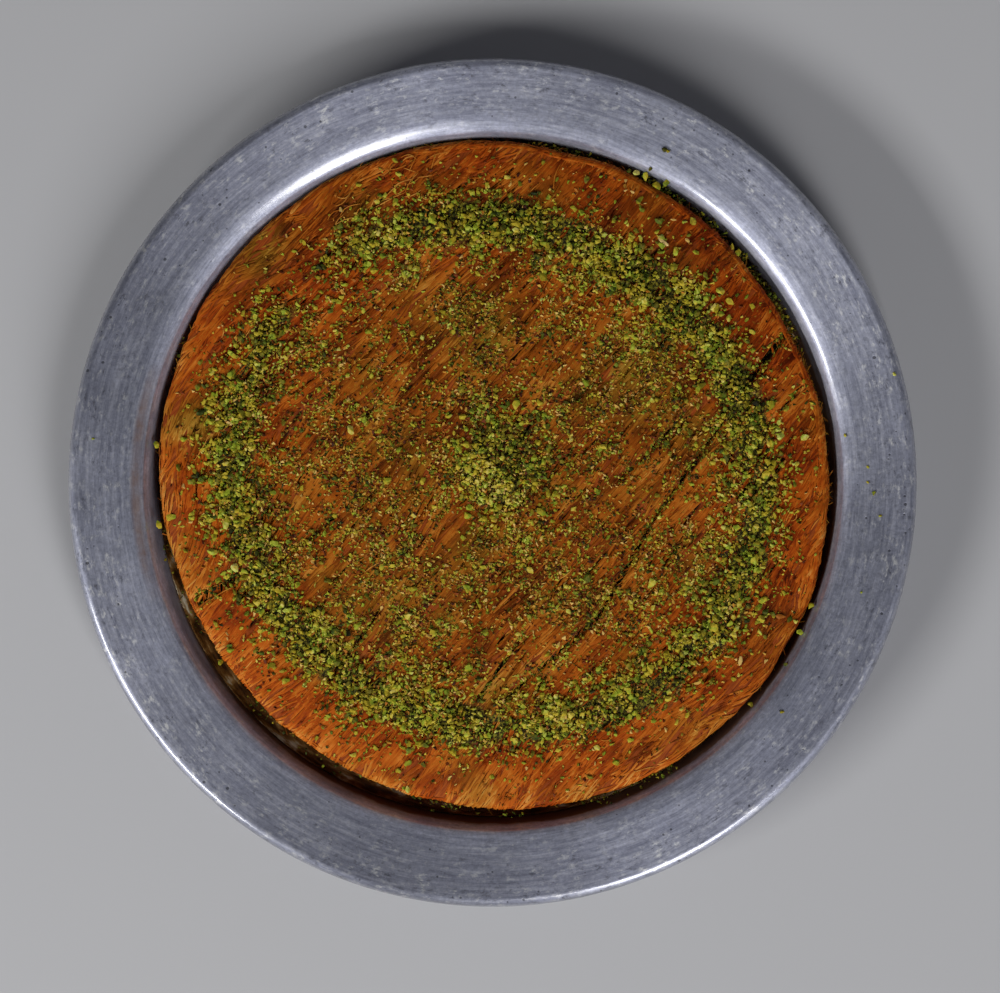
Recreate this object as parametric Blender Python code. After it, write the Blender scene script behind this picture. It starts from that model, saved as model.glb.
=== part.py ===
# A kunafa in its tray: a round of shredded pastry, baked brown and turned out into a
# shallow aluminium tray with a broad rim, and strewn with chopped pistachio in a ring
# and a heap in the middle.
# Metres, +Z up. The origin is the middle of the tray's underside.

import math
import random

import bmesh
import bpy
from mathutils import Matrix, Vector, noise

MM = 0.001
SEED = 7

# The tray is pressed from one sheet, so its underside runs parallel to its upper face.
# A slope is the angle at which the upper face climbs outwards.
TRAY_DIAMETER = 240 * MM
SHEET = 1.4 * MM
FLOOR_RADIUS = 92.4 * MM
CORNER_BEND = 3.0 * MM
WALL_SLOPE = math.radians(78)
WALL_RUN = 11.9 * MM
SHOULDER_BEND = 2.0 * MM
SHOULDER_SLOPE = math.radians(38)
FLARE_BEND = 14.0 * MM
RIM_SLOPE = math.radians(5.5)
LIP_BEND = 4.4 * MM
LIP_SLOPE = math.radians(-75)
TRAY_SIDES = 60

# The pastry doesn't lie quite in the middle of the tray, and it isn't quite round.
PASTRY_CENTRE = Vector((0.85 * MM, 2.1 * MM))
PASTRY_RADIUS = 94.3 * MM
OVAL = 1.5 * MM
OVAL_ANGLE = math.radians(135)
EDGE_WAVE = 0.6 * MM
EDGE_WAVE_LENGTH = 14 * MM
PASTRY_BOTTOM = SHEET + 0.3 * MM
PASTRY_TOP = 17.2 * MM
CROWN = 0.9 * MM
# Each ring of the side: how far inside the outline it is, and how far below the top.
SIDE_RINGS = (
    (0.8 * MM, 0.7 * MM),
    (0.0 * MM, 2.6 * MM),
    (2.4 * MM, 13.6 * MM),
)
TOP_INSET = 2.6 * MM
BOTTOM_INSET = 4.2 * MM

# The strands lie nearly one way, in bundles.
STRAND_ANGLE = math.radians(50)
BUNDLE_WIDTH = 5.5 * MM
BUNDLE_LENGTH = 38 * MM
BUNDLE_RELIEF = 0.75 * MM
BUNDLE_BEND = 4.0 * MM
COLUMNS = 76
ROWS = 24

# Splits between bundles: both ends from the tray's middle, and the depth.
SPLIT_HALF_WIDTH = 1.5 * MM
SPLITS = (
    ((4, -61), (30, -38), 2.0),
    ((30, -38), (46, -10), 2.2),
    ((46, -10), (65, 17), 1.9),
    ((-83, -33), (-70, -24), 2.4),
    ((-63, -25), (-45, -10), 1.7),
    ((69, 25), (80, 35), 1.9),
    ((-46, -56), (-32, -36), 1.6),
    ((-4, -61), (8, -44), 1.4),
    ((-44, 70), (-31, 80), 1.3),
)

# Pistachio: the finest crumbs are a low mound, and the coarse ones are pieces.
RING_RADIUS = 72.8 * MM
RING_OVAL = 2.6 * MM
RING_OVAL_ANGLE = math.radians(150)
RING_HALF_WIDTH = 7.0 * MM
RING_HEIGHT = 1.3 * MM
RING_THIN_ANGLE = math.radians(135)
RING_THIN_SPREAD = math.radians(16)
HEAP_PLACE = Vector((2.0 * MM, 3.0 * MM))
HEAP_RADIUS = 12.5 * MM
HEAP_HEIGHT = 2.3 * MM
GRIT = 0.35 * MM
GRIT_SIZE = 3.2 * MM
RING_NUTS = 60
HEAP_NUTS = 13
LOOSE_NUTS = 24
NUT_SIZES = (1.3 * MM, 1.9 * MM)
NUT_LIFT = 0.2  # how high a nut's middle is above what it lies on, as a share of its size

ALUMINIUM = ((0.42, 0.42, 0.47), 0.38, 1.0)
BAKED_PASTRY = ((0.33, 0.085, 0.015), 0.55, 0.0)
PISTACHIO = ((0.22, 0.25, 0.02), 0.7, 0.0)


def material(name, look):
    colour, roughness, metallic = look
    new = bpy.data.materials.new(name)
    new.use_nodes = True
    shader = new.node_tree.nodes["Principled BSDF"]
    shader.inputs["Base Color"].default_value = (*colour, 1.0)
    shader.inputs["Roughness"].default_value = roughness
    shader.inputs["Metallic"].default_value = metallic
    new.diffuse_color = (*colour, 1.0)
    return new


def add_object(name, bm, surface, collection):
    mesh = bpy.data.meshes.new(name)
    bm.to_mesh(mesh)
    bm.free()
    mesh.materials.append(surface)
    new = bpy.data.objects.new(name, mesh)
    collection.objects.link(new)
    return new


def bend(stations, radius, slope, steps):
    # Goes on from the last station along an arc to a new slope.
    r, z, start = stations[-1]
    side = 1 if slope > start else -1
    centre = (r - side * radius * math.sin(start), z + side * radius * math.cos(start))
    for step in range(1, steps + 1):
        angle = start + (slope - start) * step / steps
        r = centre[0] + side * radius * math.sin(angle)
        z = centre[1] - side * radius * math.cos(angle)
        stations.append((r, z, angle))


def run(stations, length):
    r, z, slope = stations[-1]
    stations.append((r + length * math.cos(slope), z + length * math.sin(slope), slope))


def tray_upper_face(rim_run):
    # Stations of radius, height and slope, from the axis out to the lip.
    stations = [(0.0, SHEET, 0.0)]
    run(stations, FLOOR_RADIUS)
    bend(stations, CORNER_BEND, WALL_SLOPE, 3)
    run(stations, WALL_RUN)
    bend(stations, SHOULDER_BEND, SHOULDER_SLOPE, 2)
    bend(stations, FLARE_BEND, RIM_SLOPE, 3)
    run(stations, rim_run)
    bend(stations, LIP_BEND, LIP_SLOPE, 4)
    return stations


def make_tray(collection):
    rimless_radius = tray_upper_face(0.0)[-1][0]
    rim_run = (TRAY_DIAMETER / 2 - rimless_radius) / math.cos(RIM_SLOPE)
    upper = tray_upper_face(rim_run)
    section = [(r, z) for r, z, slope in upper]
    for r, z, slope in reversed(upper):
        section.append((r + SHEET * math.sin(slope), z - SHEET * math.cos(slope)))
    bm = bmesh.new()
    points = [bm.verts.new((r, 0.0, z)) for r, z in section]
    edges = [bm.edges.new(pair) for pair in zip(points, points[1:])]
    bmesh.ops.spin(bm, geom=points + edges, cent=(0, 0, 0), axis=(0, 0, 1),
                   angle=2 * math.pi, steps=TRAY_SIDES, use_merge=True)
    bmesh.ops.remove_doubles(bm, verts=bm.verts, dist=0.01 * MM)
    bmesh.ops.recalc_face_normals(bm, faces=bm.faces)
    tray = add_object("tray", bm, material("aluminium", ALUMINIUM), collection)
    tray.data.shade_smooth()
    tray.data.set_sharp_from_angle(angle=math.radians(40))
    return tray


def turned(x, y, angle):
    c, s = math.cos(angle), math.sin(angle)
    return x * c - y * s, x * s + y * c


def outline(angle):
    # The pastry's radius about its own centre, with the strands' ends making it uneven.
    oval = OVAL * math.cos(2 * (angle - OVAL_ANGLE))
    reach = PASTRY_RADIUS / EDGE_WAVE_LENGTH
    wave = EDGE_WAVE * noise.noise(Vector((reach * math.cos(angle), reach * math.sin(angle), 2.0)))
    return PASTRY_RADIUS + oval + wave


def split_depth(x, y):
    depth = 0.0
    for start, end, full in SPLITS:
        a, b = Vector(start) * MM, Vector(end) * MM
        along = b - a
        at = (Vector((x, y)) - a).dot(along) / along.length_squared
        nearest = a + along * min(1.0, max(0.0, at))
        away = (Vector((x, y)) - nearest).length / SPLIT_HALF_WIDTH
        depth = max(depth, full * MM * math.exp(-away * away))
    return depth


def ring_strength(angle):
    # The ring is thin at the upper left and thicker in places all round.
    off = math.remainder(angle - RING_THIN_ANGLE, 2 * math.pi) / RING_THIN_SPREAD
    lumps = 0.25 * noise.noise(Vector((3.5 * math.cos(angle), 3.5 * math.sin(angle), 5.0)))
    return 1.0 - 0.6 * math.exp(-off * off) + lumps


def ring_radius(angle):
    return RING_RADIUS + RING_OVAL * math.cos(2 * (angle - RING_OVAL_ANGLE))


def nut_layer(x, y):
    # The depth of the fine pistachio at a place.
    place = Vector((x, y)) - PASTRY_CENTRE
    angle = math.atan2(place.y, place.x)
    off = (place.length - ring_radius(angle)) / RING_HALF_WIDTH
    ring = RING_HEIGHT * ring_strength(angle) * math.exp(-off * off)
    out = (Vector((x, y)) - HEAP_PLACE).length / HEAP_RADIUS
    heap = HEAP_HEIGHT * math.exp(-1.6 * out * out)
    cover = min(1.0, (ring + heap) / RING_HEIGHT)
    grit = GRIT * cover * noise.noise(Vector((x, y, 0.0)) / GRIT_SIZE)
    return ring + heap + grit


def top_height(x, y):
    place = Vector((x, y)) - PASTRY_CENTRE
    out = min(1.0, place.length / PASTRY_RADIUS)
    along, across = turned(x, y, -STRAND_ANGLE)
    wander = noise.noise(Vector((along, across, 0.0)) / BUNDLE_LENGTH + Vector((0.0, 0.0, 4.0)))
    across += BUNDLE_BEND * wander
    bundles = noise.noise(Vector((along / BUNDLE_LENGTH, across / BUNDLE_WIDTH, 0.0)))
    height = PASTRY_TOP + CROWN * (1 - out * out) + BUNDLE_RELIEF * bundles
    return height + nut_layer(x, y) - split_depth(x, y)


def on_disc(s, t):
    # Spreads a square of side 2 over the round of radius 1.
    return s * math.sqrt(1 - t * t / 2), t * math.sqrt(1 - s * s / 2)


def make_pastry(collection):
    bm = bmesh.new()
    bmesh.ops.create_grid(bm, x_segments=ROWS, y_segments=COLUMNS, size=1)
    for vert in bm.verts:
        x, y = turned(*on_disc(vert.co.x, vert.co.y), STRAND_ANGLE)
        reach = outline(math.atan2(y, x)) - TOP_INSET
        x = PASTRY_CENTRE.x + x * reach
        y = PASTRY_CENTRE.y + y * reach
        vert.co = (x, y, top_height(x, y))
    rings = [(inset, PASTRY_TOP - drop) for inset, drop in SIDE_RINGS]
    rings.append((BOTTOM_INSET, PASTRY_BOTTOM))
    for inset, height in rings:
        border = [edge for edge in bm.edges if edge.is_boundary]
        grown = bmesh.ops.extrude_edge_only(bm, edges=border)["geom"]
        for vert in [item for item in grown if isinstance(item, bmesh.types.BMVert)]:
            place = vert.co.xy - PASTRY_CENTRE
            angle = math.atan2(place.y, place.x)
            place = PASTRY_CENTRE + place.normalized() * (outline(angle) - inset)
            vert.co = (place.x, place.y, height)
    border = [edge for edge in bm.edges if edge.is_boundary]
    bmesh.ops.edgeloop_fill(bm, edges=border)
    bmesh.ops.recalc_face_normals(bm, faces=bm.faces)
    bmesh.ops.triangulate(bm, faces=bm.faces, quad_method="BEAUTY", ngon_method="BEAUTY")
    return add_object("kunafa", bm, material("baked_pastry", BAKED_PASTRY), collection)


def nut_places(rng):
    # Even steps round the ring, and sunflower spirals in the heap and on the rest.
    golden = math.pi * (3 - math.sqrt(5))
    angle = 0.0
    for count in range(RING_NUTS):
        angle += 2 * math.pi / RING_NUTS / max(0.5, ring_strength(angle))
        radius = ring_radius(angle) + rng.uniform(-1, 1) * RING_HALF_WIDTH
        yield PASTRY_CENTRE + Vector((math.cos(angle), math.sin(angle))) * radius
    for count in range(HEAP_NUTS):
        angle, out = count * golden, math.sqrt((count + 0.5) / HEAP_NUTS)
        yield HEAP_PLACE + Vector((math.cos(angle), math.sin(angle))) * HEAP_RADIUS * out
    inner = RING_RADIUS - 1.5 * RING_HALF_WIDTH
    for count in range(LOOSE_NUTS):
        angle = count * golden
        share = (count + 0.5) / LOOSE_NUTS
        radius = math.sqrt(HEAP_RADIUS ** 2 + share * (inner ** 2 - HEAP_RADIUS ** 2))
        yield PASTRY_CENTRE + Vector((math.cos(angle), math.sin(angle))) * radius


def make_nuts(collection, surface, pastry):
    bpy.context.view_layer.update()
    rng = random.Random(SEED)
    for count, place in enumerate(nut_places(rng)):
        above = (place.x, place.y, 2 * PASTRY_TOP)
        touched, seat, normal, face = pastry.ray_cast(above, (0, 0, -1))
        size = rng.uniform(*NUT_SIZES)
        width, thickness = rng.uniform(0.7, 0.95), rng.uniform(0.55, 0.8)
        shape = Matrix.Diagonal((size, size * width, size * thickness))
        turn = Matrix.Rotation(rng.uniform(0, 2 * math.pi), 3, "Z")
        bm = bmesh.new()
        bmesh.ops.create_icosphere(bm, subdivisions=1, radius=1)
        for vert in bm.verts:
            vert.co *= rng.uniform(0.8, 1.15)
            vert.co = turn @ shape @ vert.co
            vert.co += seat + Vector((0, 0, size * NUT_LIFT))
        add_object(f"nut_{count}", bm, surface, collection)


def fuse(solid, pieces):
    # Joins the pieces to the solid they lie on, and removes them.
    union = solid.modifiers.new("union", "BOOLEAN")
    union.operation = "UNION"
    union.solver = "EXACT"
    union.material_mode = "TRANSFER"
    union.operand_type = "COLLECTION"
    union.collection = pieces
    shape = solid.evaluated_get(bpy.context.evaluated_depsgraph_get())
    mesh = bpy.data.meshes.new_from_object(shape)
    solid.modifiers.clear()
    solid.data = mesh
    for piece in list(pieces.objects):
        bpy.data.objects.remove(piece, do_unlink=True)
    bpy.data.collections.remove(pieces)


def main():
    for old in list(bpy.data.objects):
        bpy.data.objects.remove(old, do_unlink=True)
    collection = bpy.context.scene.collection
    make_tray(collection)
    kunafa = make_pastry(collection)
    nuts = bpy.data.collections.new("nuts")
    collection.children.link(nuts)
    make_nuts(nuts, material("pistachio", PISTACHIO), kunafa)
    fuse(kunafa, nuts)


main()
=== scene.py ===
import math

import bmesh
import bpy
import numpy as np
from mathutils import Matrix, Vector, noise


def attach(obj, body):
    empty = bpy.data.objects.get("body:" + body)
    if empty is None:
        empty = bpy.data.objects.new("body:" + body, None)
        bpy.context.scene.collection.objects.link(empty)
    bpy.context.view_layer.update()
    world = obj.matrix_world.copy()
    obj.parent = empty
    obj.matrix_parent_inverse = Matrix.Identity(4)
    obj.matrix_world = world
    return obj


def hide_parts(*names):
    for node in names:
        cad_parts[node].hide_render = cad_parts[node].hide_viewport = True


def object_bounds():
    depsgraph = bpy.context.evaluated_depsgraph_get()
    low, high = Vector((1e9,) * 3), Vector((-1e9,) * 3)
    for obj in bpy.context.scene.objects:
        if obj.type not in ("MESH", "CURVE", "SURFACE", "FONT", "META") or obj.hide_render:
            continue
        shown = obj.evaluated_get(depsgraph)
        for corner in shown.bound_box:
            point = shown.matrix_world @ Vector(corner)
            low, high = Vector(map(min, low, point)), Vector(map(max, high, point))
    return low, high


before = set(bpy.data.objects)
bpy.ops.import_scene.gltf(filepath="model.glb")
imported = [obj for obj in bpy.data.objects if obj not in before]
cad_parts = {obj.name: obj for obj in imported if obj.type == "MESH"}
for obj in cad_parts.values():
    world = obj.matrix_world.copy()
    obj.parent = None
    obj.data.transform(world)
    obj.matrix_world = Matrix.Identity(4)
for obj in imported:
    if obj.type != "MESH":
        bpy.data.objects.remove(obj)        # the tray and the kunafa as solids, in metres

mm = 0.001
degree = math.pi / 180
goldenAngle = math.pi * (3 - math.sqrt(5))
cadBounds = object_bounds()
print("frame loaded:", ", ".join(sorted(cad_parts)))


# Small helpers for materials and pieces

def hexColour(code):
    # An sRGB hex colour as the linear colour that a socket takes
    linear = []
    for start in (0, 2, 4):
        value = int(code[start:start + 2], 16) / 255
        linear.append(value / 12.92 if value <= 0.04045 else ((value + 0.055) / 1.055) ** 2.4)
    return (*linear, 1.0)


def newMaterial(name, numbers):
    # The numbers are the same all over the surface and are set on the shader's own sockets
    material = bpy.data.materials.new(name)
    material.use_nodes = True
    shader = material.node_tree.nodes["Principled BSDF"]
    for socket, value in numbers.items():
        shader.inputs[socket].default_value = value
    return material, material.node_tree, shader


def addNode(tree, kind, *inputs, output=0, **named):
    # One node: its first inputs in order, then settings and further inputs by name. An input
    # is a value or the output of another node.
    node = tree.nodes.new("ShaderNode" + kind)
    sockets = list(enumerate(inputs))
    for key, value in named.items():
        if key == "stops":      # a new ramp has two stops, which become the first and the last
            ramp = node.color_ramp.elements
            for stop, (place, code) in zip(ramp, (value[0], value[-1])):
                stop.position = place
                stop.color = hexColour(code)
            for place, code in value[1:-1]:
                ramp.new(place).color = hexColour(code)
        elif hasattr(node, key):
            setattr(node, key, value)
        else:
            sockets.append((key, value))
    for key, value in sockets:
        if isinstance(value, bpy.types.NodeSocket):
            tree.links.new(value, node.inputs[key])
        else:
            node.inputs[key].default_value = value
    return node.outputs[output]


def addShare(tree, value, ends, within):
    # How far a value has run between two ends, times another share
    ranged = addNode(tree, "MapRange", value, *ends)
    return addNode(tree, "Math", ranged, within, operation="MULTIPLY")


def meshFrom(bm, name):
    mesh = bpy.data.meshes.new(name)
    bm.to_mesh(mesh)
    bm.free()
    return mesh


def setAttribute(mesh, name, values):
    attribute = mesh.attributes.new(name, "FLOAT", "POINT")
    attribute.data.foreach_set("value", np.ravel(values).astype(np.float32))


def addPiece(name, mesh, material, node=None):
    # A piece that replaces a node of the solids, or is added to them where none is named
    piece = bpy.data.objects.new(name, mesh)
    bpy.context.scene.collection.objects.link(piece)
    mesh.materials.append(material)
    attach(piece, "root")
    if node:
        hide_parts(node)


# The form of the pastry: that of its solid, with more crown and a top that drops at its edge

pastry = {
    "centre": (0.85 * mm, 2.1 * mm),
    "radius": 94.3 * mm,
    "oval": 1.5 * mm,
    "ovalAngle": 135 * degree,
    "edgeWave": 0.6 * mm,
    "edgeWaveLength": 14 * mm,
    "bottom": 1.7 * mm,
    "top": 17.2 * mm,
    "crown": 1.2 * mm,
    "marginDrop": 1.3 * mm,
    "marginReach": 14 * mm,
    "edgeBend": 1.5 * mm,
    "sideTaper": 2.4 * mm,
    "sideFoot": 3.6 * mm,
    "bottomInset": 4.2 * mm,
    "strandAngle": 50 * degree,
    "bundleWidth": 5.5 * mm,
    "bundleLength": 38 * mm,
    "bundleRelief": 0.75 * mm,
    "bundleBend": 4 * mm,
}

# Where the outline stands out or in a little more: angle and reach in degrees, and mm
edgeBulges = [(180, 15, 0.9), (28, 15, -0.9)]

# Splits between bundles: both ends from the tray's middle, the depth and the half width, in mm
splits = [
    ((4, -61), (30, -38), 2.6, 0.55),
    ((30, -38), (46, -10), 2.8, 0.6),
    ((36, 0.7), (53, 17.7), 2.2, 0.45),
    ((46, -10), (65, 17), 2.6, 0.55),
    ((-82.8, -32.8), (-73.4, -27.2), 3.6, 1.2),
    ((-63, -25), (-45, -10), 2.2, 0.45),
    ((73.5, 30), (83, 42.5), 3.2, 0.8),
    ((82, 20.8), (87, 27), 1.8, 0.3),
    ((-46, -56), (-32, -36), 2.2, 0.45),
    ((-4, -61), (8, -44), 2.0, 0.4),
    ((-44, 70), (-31, 80), 2.0, 0.4),
]

# Short slits between strands, all over the top
slits = {"count": 330, "length": (2.5, 8.5), "depth": (0.9, 1.8), "halfWidth": (0.13, 0.3),
         "reach": 86.0, "turn": 4.0, "seed": 5}

nutRing = {
    "radius": 72.8 * mm,
    "oval": 2.6 * mm,
    "ovalAngle": 150 * degree,
    "halfWidth": 7.0 * mm,
    "height": 1.3 * mm,
    "lumps": 0.25,
    "thinAngle": 135 * degree,
    "thinSpread": 16 * degree,
    "thinned": 0.6,
}

nutHeap = {
    "place": (2.0 * mm, 3.0 * mm),
    "radius": 12.5 * mm,
    "height": 2.3 * mm,
    "grit": 0.35 * mm,
    "gritSize": 3.2 * mm,
}

# Where the strands turn away from their main direction: place and reach in mm, turn in degrees
strandTurns = [
    (84, -38, 16, 22),
    (-88, 0, 26, 32),
    (-60, 58, 34, -12),
    (-15, 88, 22, -18),
    (55, -70, 30, -9),
    (-65, -62, 24, -12),
    (0, -88, 22, 12),
    (88, 5, 22, 6),
]

mapHalf = 100 * mm       # fields are worked out once on a square map of this half side
mapStep = 0.5 * mm
mapLine = np.arange(-mapHalf, mapHalf + mapStep / 2, mapStep)
mapX, mapY = np.meshgrid(mapLine, mapLine)
compass = np.linspace(-math.pi, math.pi, 2881)
borderHeight = pastry["top"] - pastry["marginDrop"]


def noiseMap(placeOf):
    return np.array([[noise.noise(placeOf(x, y)) for x in mapLine] for y in mapLine])


def sampleMap(field, x, y):
    last = len(mapLine) - 1.001
    column = np.clip((x + mapHalf) / mapStep, 0, last)
    row = np.clip((y + mapHalf) / mapStep, 0, last)
    i, j = column.astype(int), row.astype(int)
    u, v = column - i, row - j
    low = field[j, i] * (1 - u) + field[j, i + 1] * u
    high = field[j + 1, i] * (1 - u) + field[j + 1, i + 1] * u
    return low * (1 - v) + high * v


def turned(x, y, angle):
    c, s = math.cos(angle), math.sin(angle)
    return x * c - y * s, x * s + y * c


def bundlePlace(x, y):
    length = pastry["bundleLength"]
    along, across = turned(x, y, -pastry["strandAngle"])
    wander = noise.noise(Vector((along, across, 0)) / length + Vector((0, 0, 4)))
    across += pastry["bundleBend"] * wander
    return Vector((along / length, across / pastry["bundleWidth"], 0))


bundleMap = noiseMap(bundlePlace)
gritMap = noiseMap(lambda x, y: Vector((x, y, 0)) / nutHeap["gritSize"])
clumpMap = noiseMap(lambda x, y: Vector((x, y, 0.03)) / (4 * mm))
patchMap = noiseMap(lambda x, y: Vector((x, y, 0.2)) / (14 * mm))


def roundNoise(reach, level):
    # Noise round a circle, one value for each direction of the compass
    return np.array([noise.noise(Vector((reach * math.cos(angle), reach * math.sin(angle), level)))
                     for angle in compass])


edgeWaves = roundNoise(pastry["radius"] / pastry["edgeWaveLength"], 2)
for middle, reach, rise in edgeBulges:
    away = ((compass / degree - middle + 180) % 360 - 180) / reach
    edgeWaves = edgeWaves + rise * mm / pastry["edgeWave"] * np.exp(-away ** 2)
ringLumps = roundNoise(3.5, 5)


def spotSum(rows, x, y):
    # Soft round spots added up: place and reach in mm, and strength
    total = np.zeros_like(x)
    for cx, cy, reach, strength in rows:
        away = ((x - cx * mm) ** 2 + (y - cy * mm) ** 2) / (reach * mm) ** 2
        total = total + strength * np.exp(-away)
    return total


def polar(x, y):
    dx, dy = x - pastry["centre"][0], y - pastry["centre"][1]
    return np.hypot(dx, dy), np.arctan2(dy, dx)


def fromCentre(radius, angle):
    return pastry["centre"][0] + radius * np.cos(angle), pastry["centre"][1] + radius * np.sin(angle)


def outline(angle):
    oval = pastry["oval"] * np.cos(2 * (angle - pastry["ovalAngle"]))
    return pastry["radius"] + oval + pastry["edgeWave"] * np.interp(angle, compass, edgeWaves)


def strandDirection(x, y):
    return pastry["strandAngle"] + degree * spotSum(strandTurns, x, y)


def makeSlits():
    # Every split and slit as a row of its middle, direction, half length, half width and depth
    rows = []
    for start, end, depth, half in splits:
        dx, dy = end[0] - start[0], end[1] - start[1]
        rows.append(((start[0] + end[0]) / 2, (start[1] + end[1]) / 2, math.atan2(dy, dx),
                     math.hypot(dx, dy) / 2, half, depth))
    rng = np.random.default_rng(slits["seed"])
    for number in range(slits["count"]):
        spread, angle = slits["reach"] * math.sqrt(rng.uniform()), rng.uniform(0, 2 * math.pi)
        x, y = spread * math.cos(angle), spread * math.sin(angle)
        heading = float(strandDirection(np.array(x * mm), np.array(y * mm)))
        rows.append((x, y, heading + rng.normal(0, slits["turn"]) * degree,
                     rng.uniform(*slits["length"]) / 2, rng.uniform(*slits["halfWidth"]),
                     rng.uniform(*slits["depth"])))
    table = np.array(rows)
    table[:, [0, 1, 3, 4, 5]] *= mm
    return table


slitTable = makeSlits()


def splitDepth(x, y, rows=slitTable):
    depth = np.zeros_like(x)
    for cx, cy, heading, half, width, full in rows:
        along, across = turned(x - cx, y - cy, -heading)
        beyond = np.maximum(0, np.abs(along) - half)
        away = (across ** 2 + beyond ** 2) / (width + 0.25 * mm) ** 2
        depth = np.maximum(depth, full * np.exp(-away))
    return depth


splitMap = splitDepth(mapX, mapY, slitTable[:len(splits)])


def partStrands(x, y):
    # Strands lie to either side of a split, so that it stays open
    for cx, cy, heading, half, width, full in slitTable:
        along, across = turned(x - cx, y - cy, -heading)
        along = along / half
        room = width * np.sqrt(np.clip(1 - along * along, 0, 1))
        shift = np.where(across < 0, -1, 1) * np.hypot(across, room * 1.3) - across
        shift = shift * np.exp(-(across / (4 * width)) ** 2) * (np.abs(along) < 1)
        x = x - shift * math.sin(heading)
        y = y + shift * math.cos(heading)
    return x, y


def ringStrength(angle):
    off = (angle - nutRing["thinAngle"] + math.pi) % (2 * math.pi) - math.pi
    thin = nutRing["thinned"] * np.exp(-(off / nutRing["thinSpread"]) ** 2)
    return 1 - thin + nutRing["lumps"] * np.interp(angle, compass, ringLumps)


def nutLayer(x, y):
    # The height to which the chopped pistachio is piled
    radius, angle = polar(x, y)
    middle = nutRing["radius"] + nutRing["oval"] * np.cos(2 * (angle - nutRing["ovalAngle"]))
    off = (radius - middle) / nutRing["halfWidth"]
    ring = nutRing["height"] * ringStrength(angle) * np.exp(-off * off)
    away = np.hypot(x - nutHeap["place"][0], y - nutHeap["place"][1]) / nutHeap["radius"]
    heap = nutHeap["height"] * np.exp(-1.6 * away ** 2)
    cover = np.minimum(1, (ring + heap) / nutRing["height"])
    return ring + heap + nutHeap["grit"] * cover * sampleMap(gritMap, x, y)


def pastryTop(x, y):
    # The top without the nuts, as it runs before the edge turns down
    radius, angle = polar(x, y)
    out = np.minimum(1, radius / pastry["radius"])
    crown = pastry["crown"] * (1 - out * out)
    margin = np.clip(1 - (outline(angle) - radius) / pastry["marginReach"], 0, 1)
    relief = pastry["bundleRelief"] * sampleMap(bundleMap, x, y)
    return pastry["top"] + crown + relief - pastry["marginDrop"] * margin ** 2 - splitDepth(x, y)


def wrapOver(x, y, lift):
    # Lays flat places on the pastry: over its top, round its edge and down its side
    radius, angle = polar(x, y)
    turn, border = pastry["edgeBend"], outline(angle)
    beyond = turn - (border - radius)
    arc = np.clip(beyond / turn, 0, math.pi / 2)
    down = np.maximum(0, beyond - turn * math.pi / 2)
    inner = np.minimum(radius, border - turn)
    top = pastryTop(*fromCentre(inner, angle)) - borderHeight
    top = borderHeight + top * (1 - arc / (math.pi / 2))
    taper = pastry["sideTaper"] / (borderHeight - turn - pastry["sideFoot"])
    outX, outY = fromCentre(inner + turn * np.sin(arc) - taper * down + lift * np.sin(arc), angle)
    z = top - turn * (1 - np.cos(arc)) - down + lift * np.cos(arc)
    normals = np.stack([np.cos(angle) * np.sin(arc), np.sin(angle) * np.sin(arc), np.cos(arc)], -1)
    return np.stack([outX, outY, z], -1), normals


print("relief of the pastry worked out")


# Aluminium tray

tray = {
    "rimRadius": 120 * mm,
    "sheet": 1.4 * mm,
    "floorRadius": 92.87 * mm,
    "cornerBend": 3.0 * mm,
    "wallSlope": 80 * degree,
    "wallRun": 9.9 * mm,
    "shoulder": [(8 * mm, 55 * degree), (1.8 * mm, 40 * degree), (5 * mm, 20 * degree),
                 (18 * mm, 6.8 * degree)],
    "lipBend": 2.1 * mm,
    "lipSlope": -75 * degree,
    "lipRun": 1.6 * mm,
    "turns": 300,
    "wellShift": (0.2 * mm, 0.28 * mm),     # the well isn't quite in the middle of the rim
    "dent": 0.12 * mm,
    "dentSize": 26 * mm,
    "dentStart": (100 * mm, 8 * mm),        # the radius and width over which the shift ends
}                                           # and the dents begin


def bend(stations, radius, slope, steps):
    r, z, start = stations[-1]
    side = 1 if slope > start else -1
    middleR, middleZ = r - side * radius * math.sin(start), z + side * radius * math.cos(start)
    for step in range(1, steps + 1):
        angle = start + (slope - start) * step / steps
        stations.append((middleR + side * radius * math.sin(angle),
                         middleZ - side * radius * math.cos(angle), angle))


def run(stations, length, steps):
    r, z, slope = stations[-1]
    for step in range(1, steps + 1):
        far = length * step / steps
        stations.append((r + far * math.cos(slope), z + far * math.sin(slope), slope))


def trayStations(rimRun):
    stations = [(0, tray["sheet"], 0)]
    run(stations, tray["floorRadius"], 14)
    bend(stations, tray["cornerBend"], tray["wallSlope"], 7)
    run(stations, tray["wallRun"], 5)
    for radius, slope in tray["shoulder"]:
        bend(stations, radius, slope, 8)
    run(stations, rimRun, 6)
    bend(stations, tray["lipBend"], tray["lipSlope"], 12)
    run(stations, tray["lipRun"], 2)
    return stations


rimRun = (tray["rimRadius"] - trayStations(0)[-1][0]) / math.cos(tray["shoulder"][-1][1])
upperFace = trayStations(rimRun)


def trayTop(radius):
    return np.interp(radius, [r for r, z, slope in upperFace], [z for r, z, slope in upperFace])


def spunSection(section, turns, closed):
    # Turns a section, as radii and heights, once round the tray's axis
    bm = bmesh.new()
    points = [bm.verts.new((radius, 0, height)) for radius, height in section]
    ends = points[1:] + points[:closed]
    edges = [bm.edges.new(pair) for pair in zip(points, ends)]
    bmesh.ops.spin(bm, geom=points + edges, cent=(0, 0, 0), axis=(0, 0, 1), angle=2 * math.pi,
                   steps=turns, use_merge=True)
    bmesh.ops.remove_doubles(bm, verts=bm.verts, dist=0.001 * mm)
    bmesh.ops.recalc_face_normals(bm, faces=bm.faces)
    return bm


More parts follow.
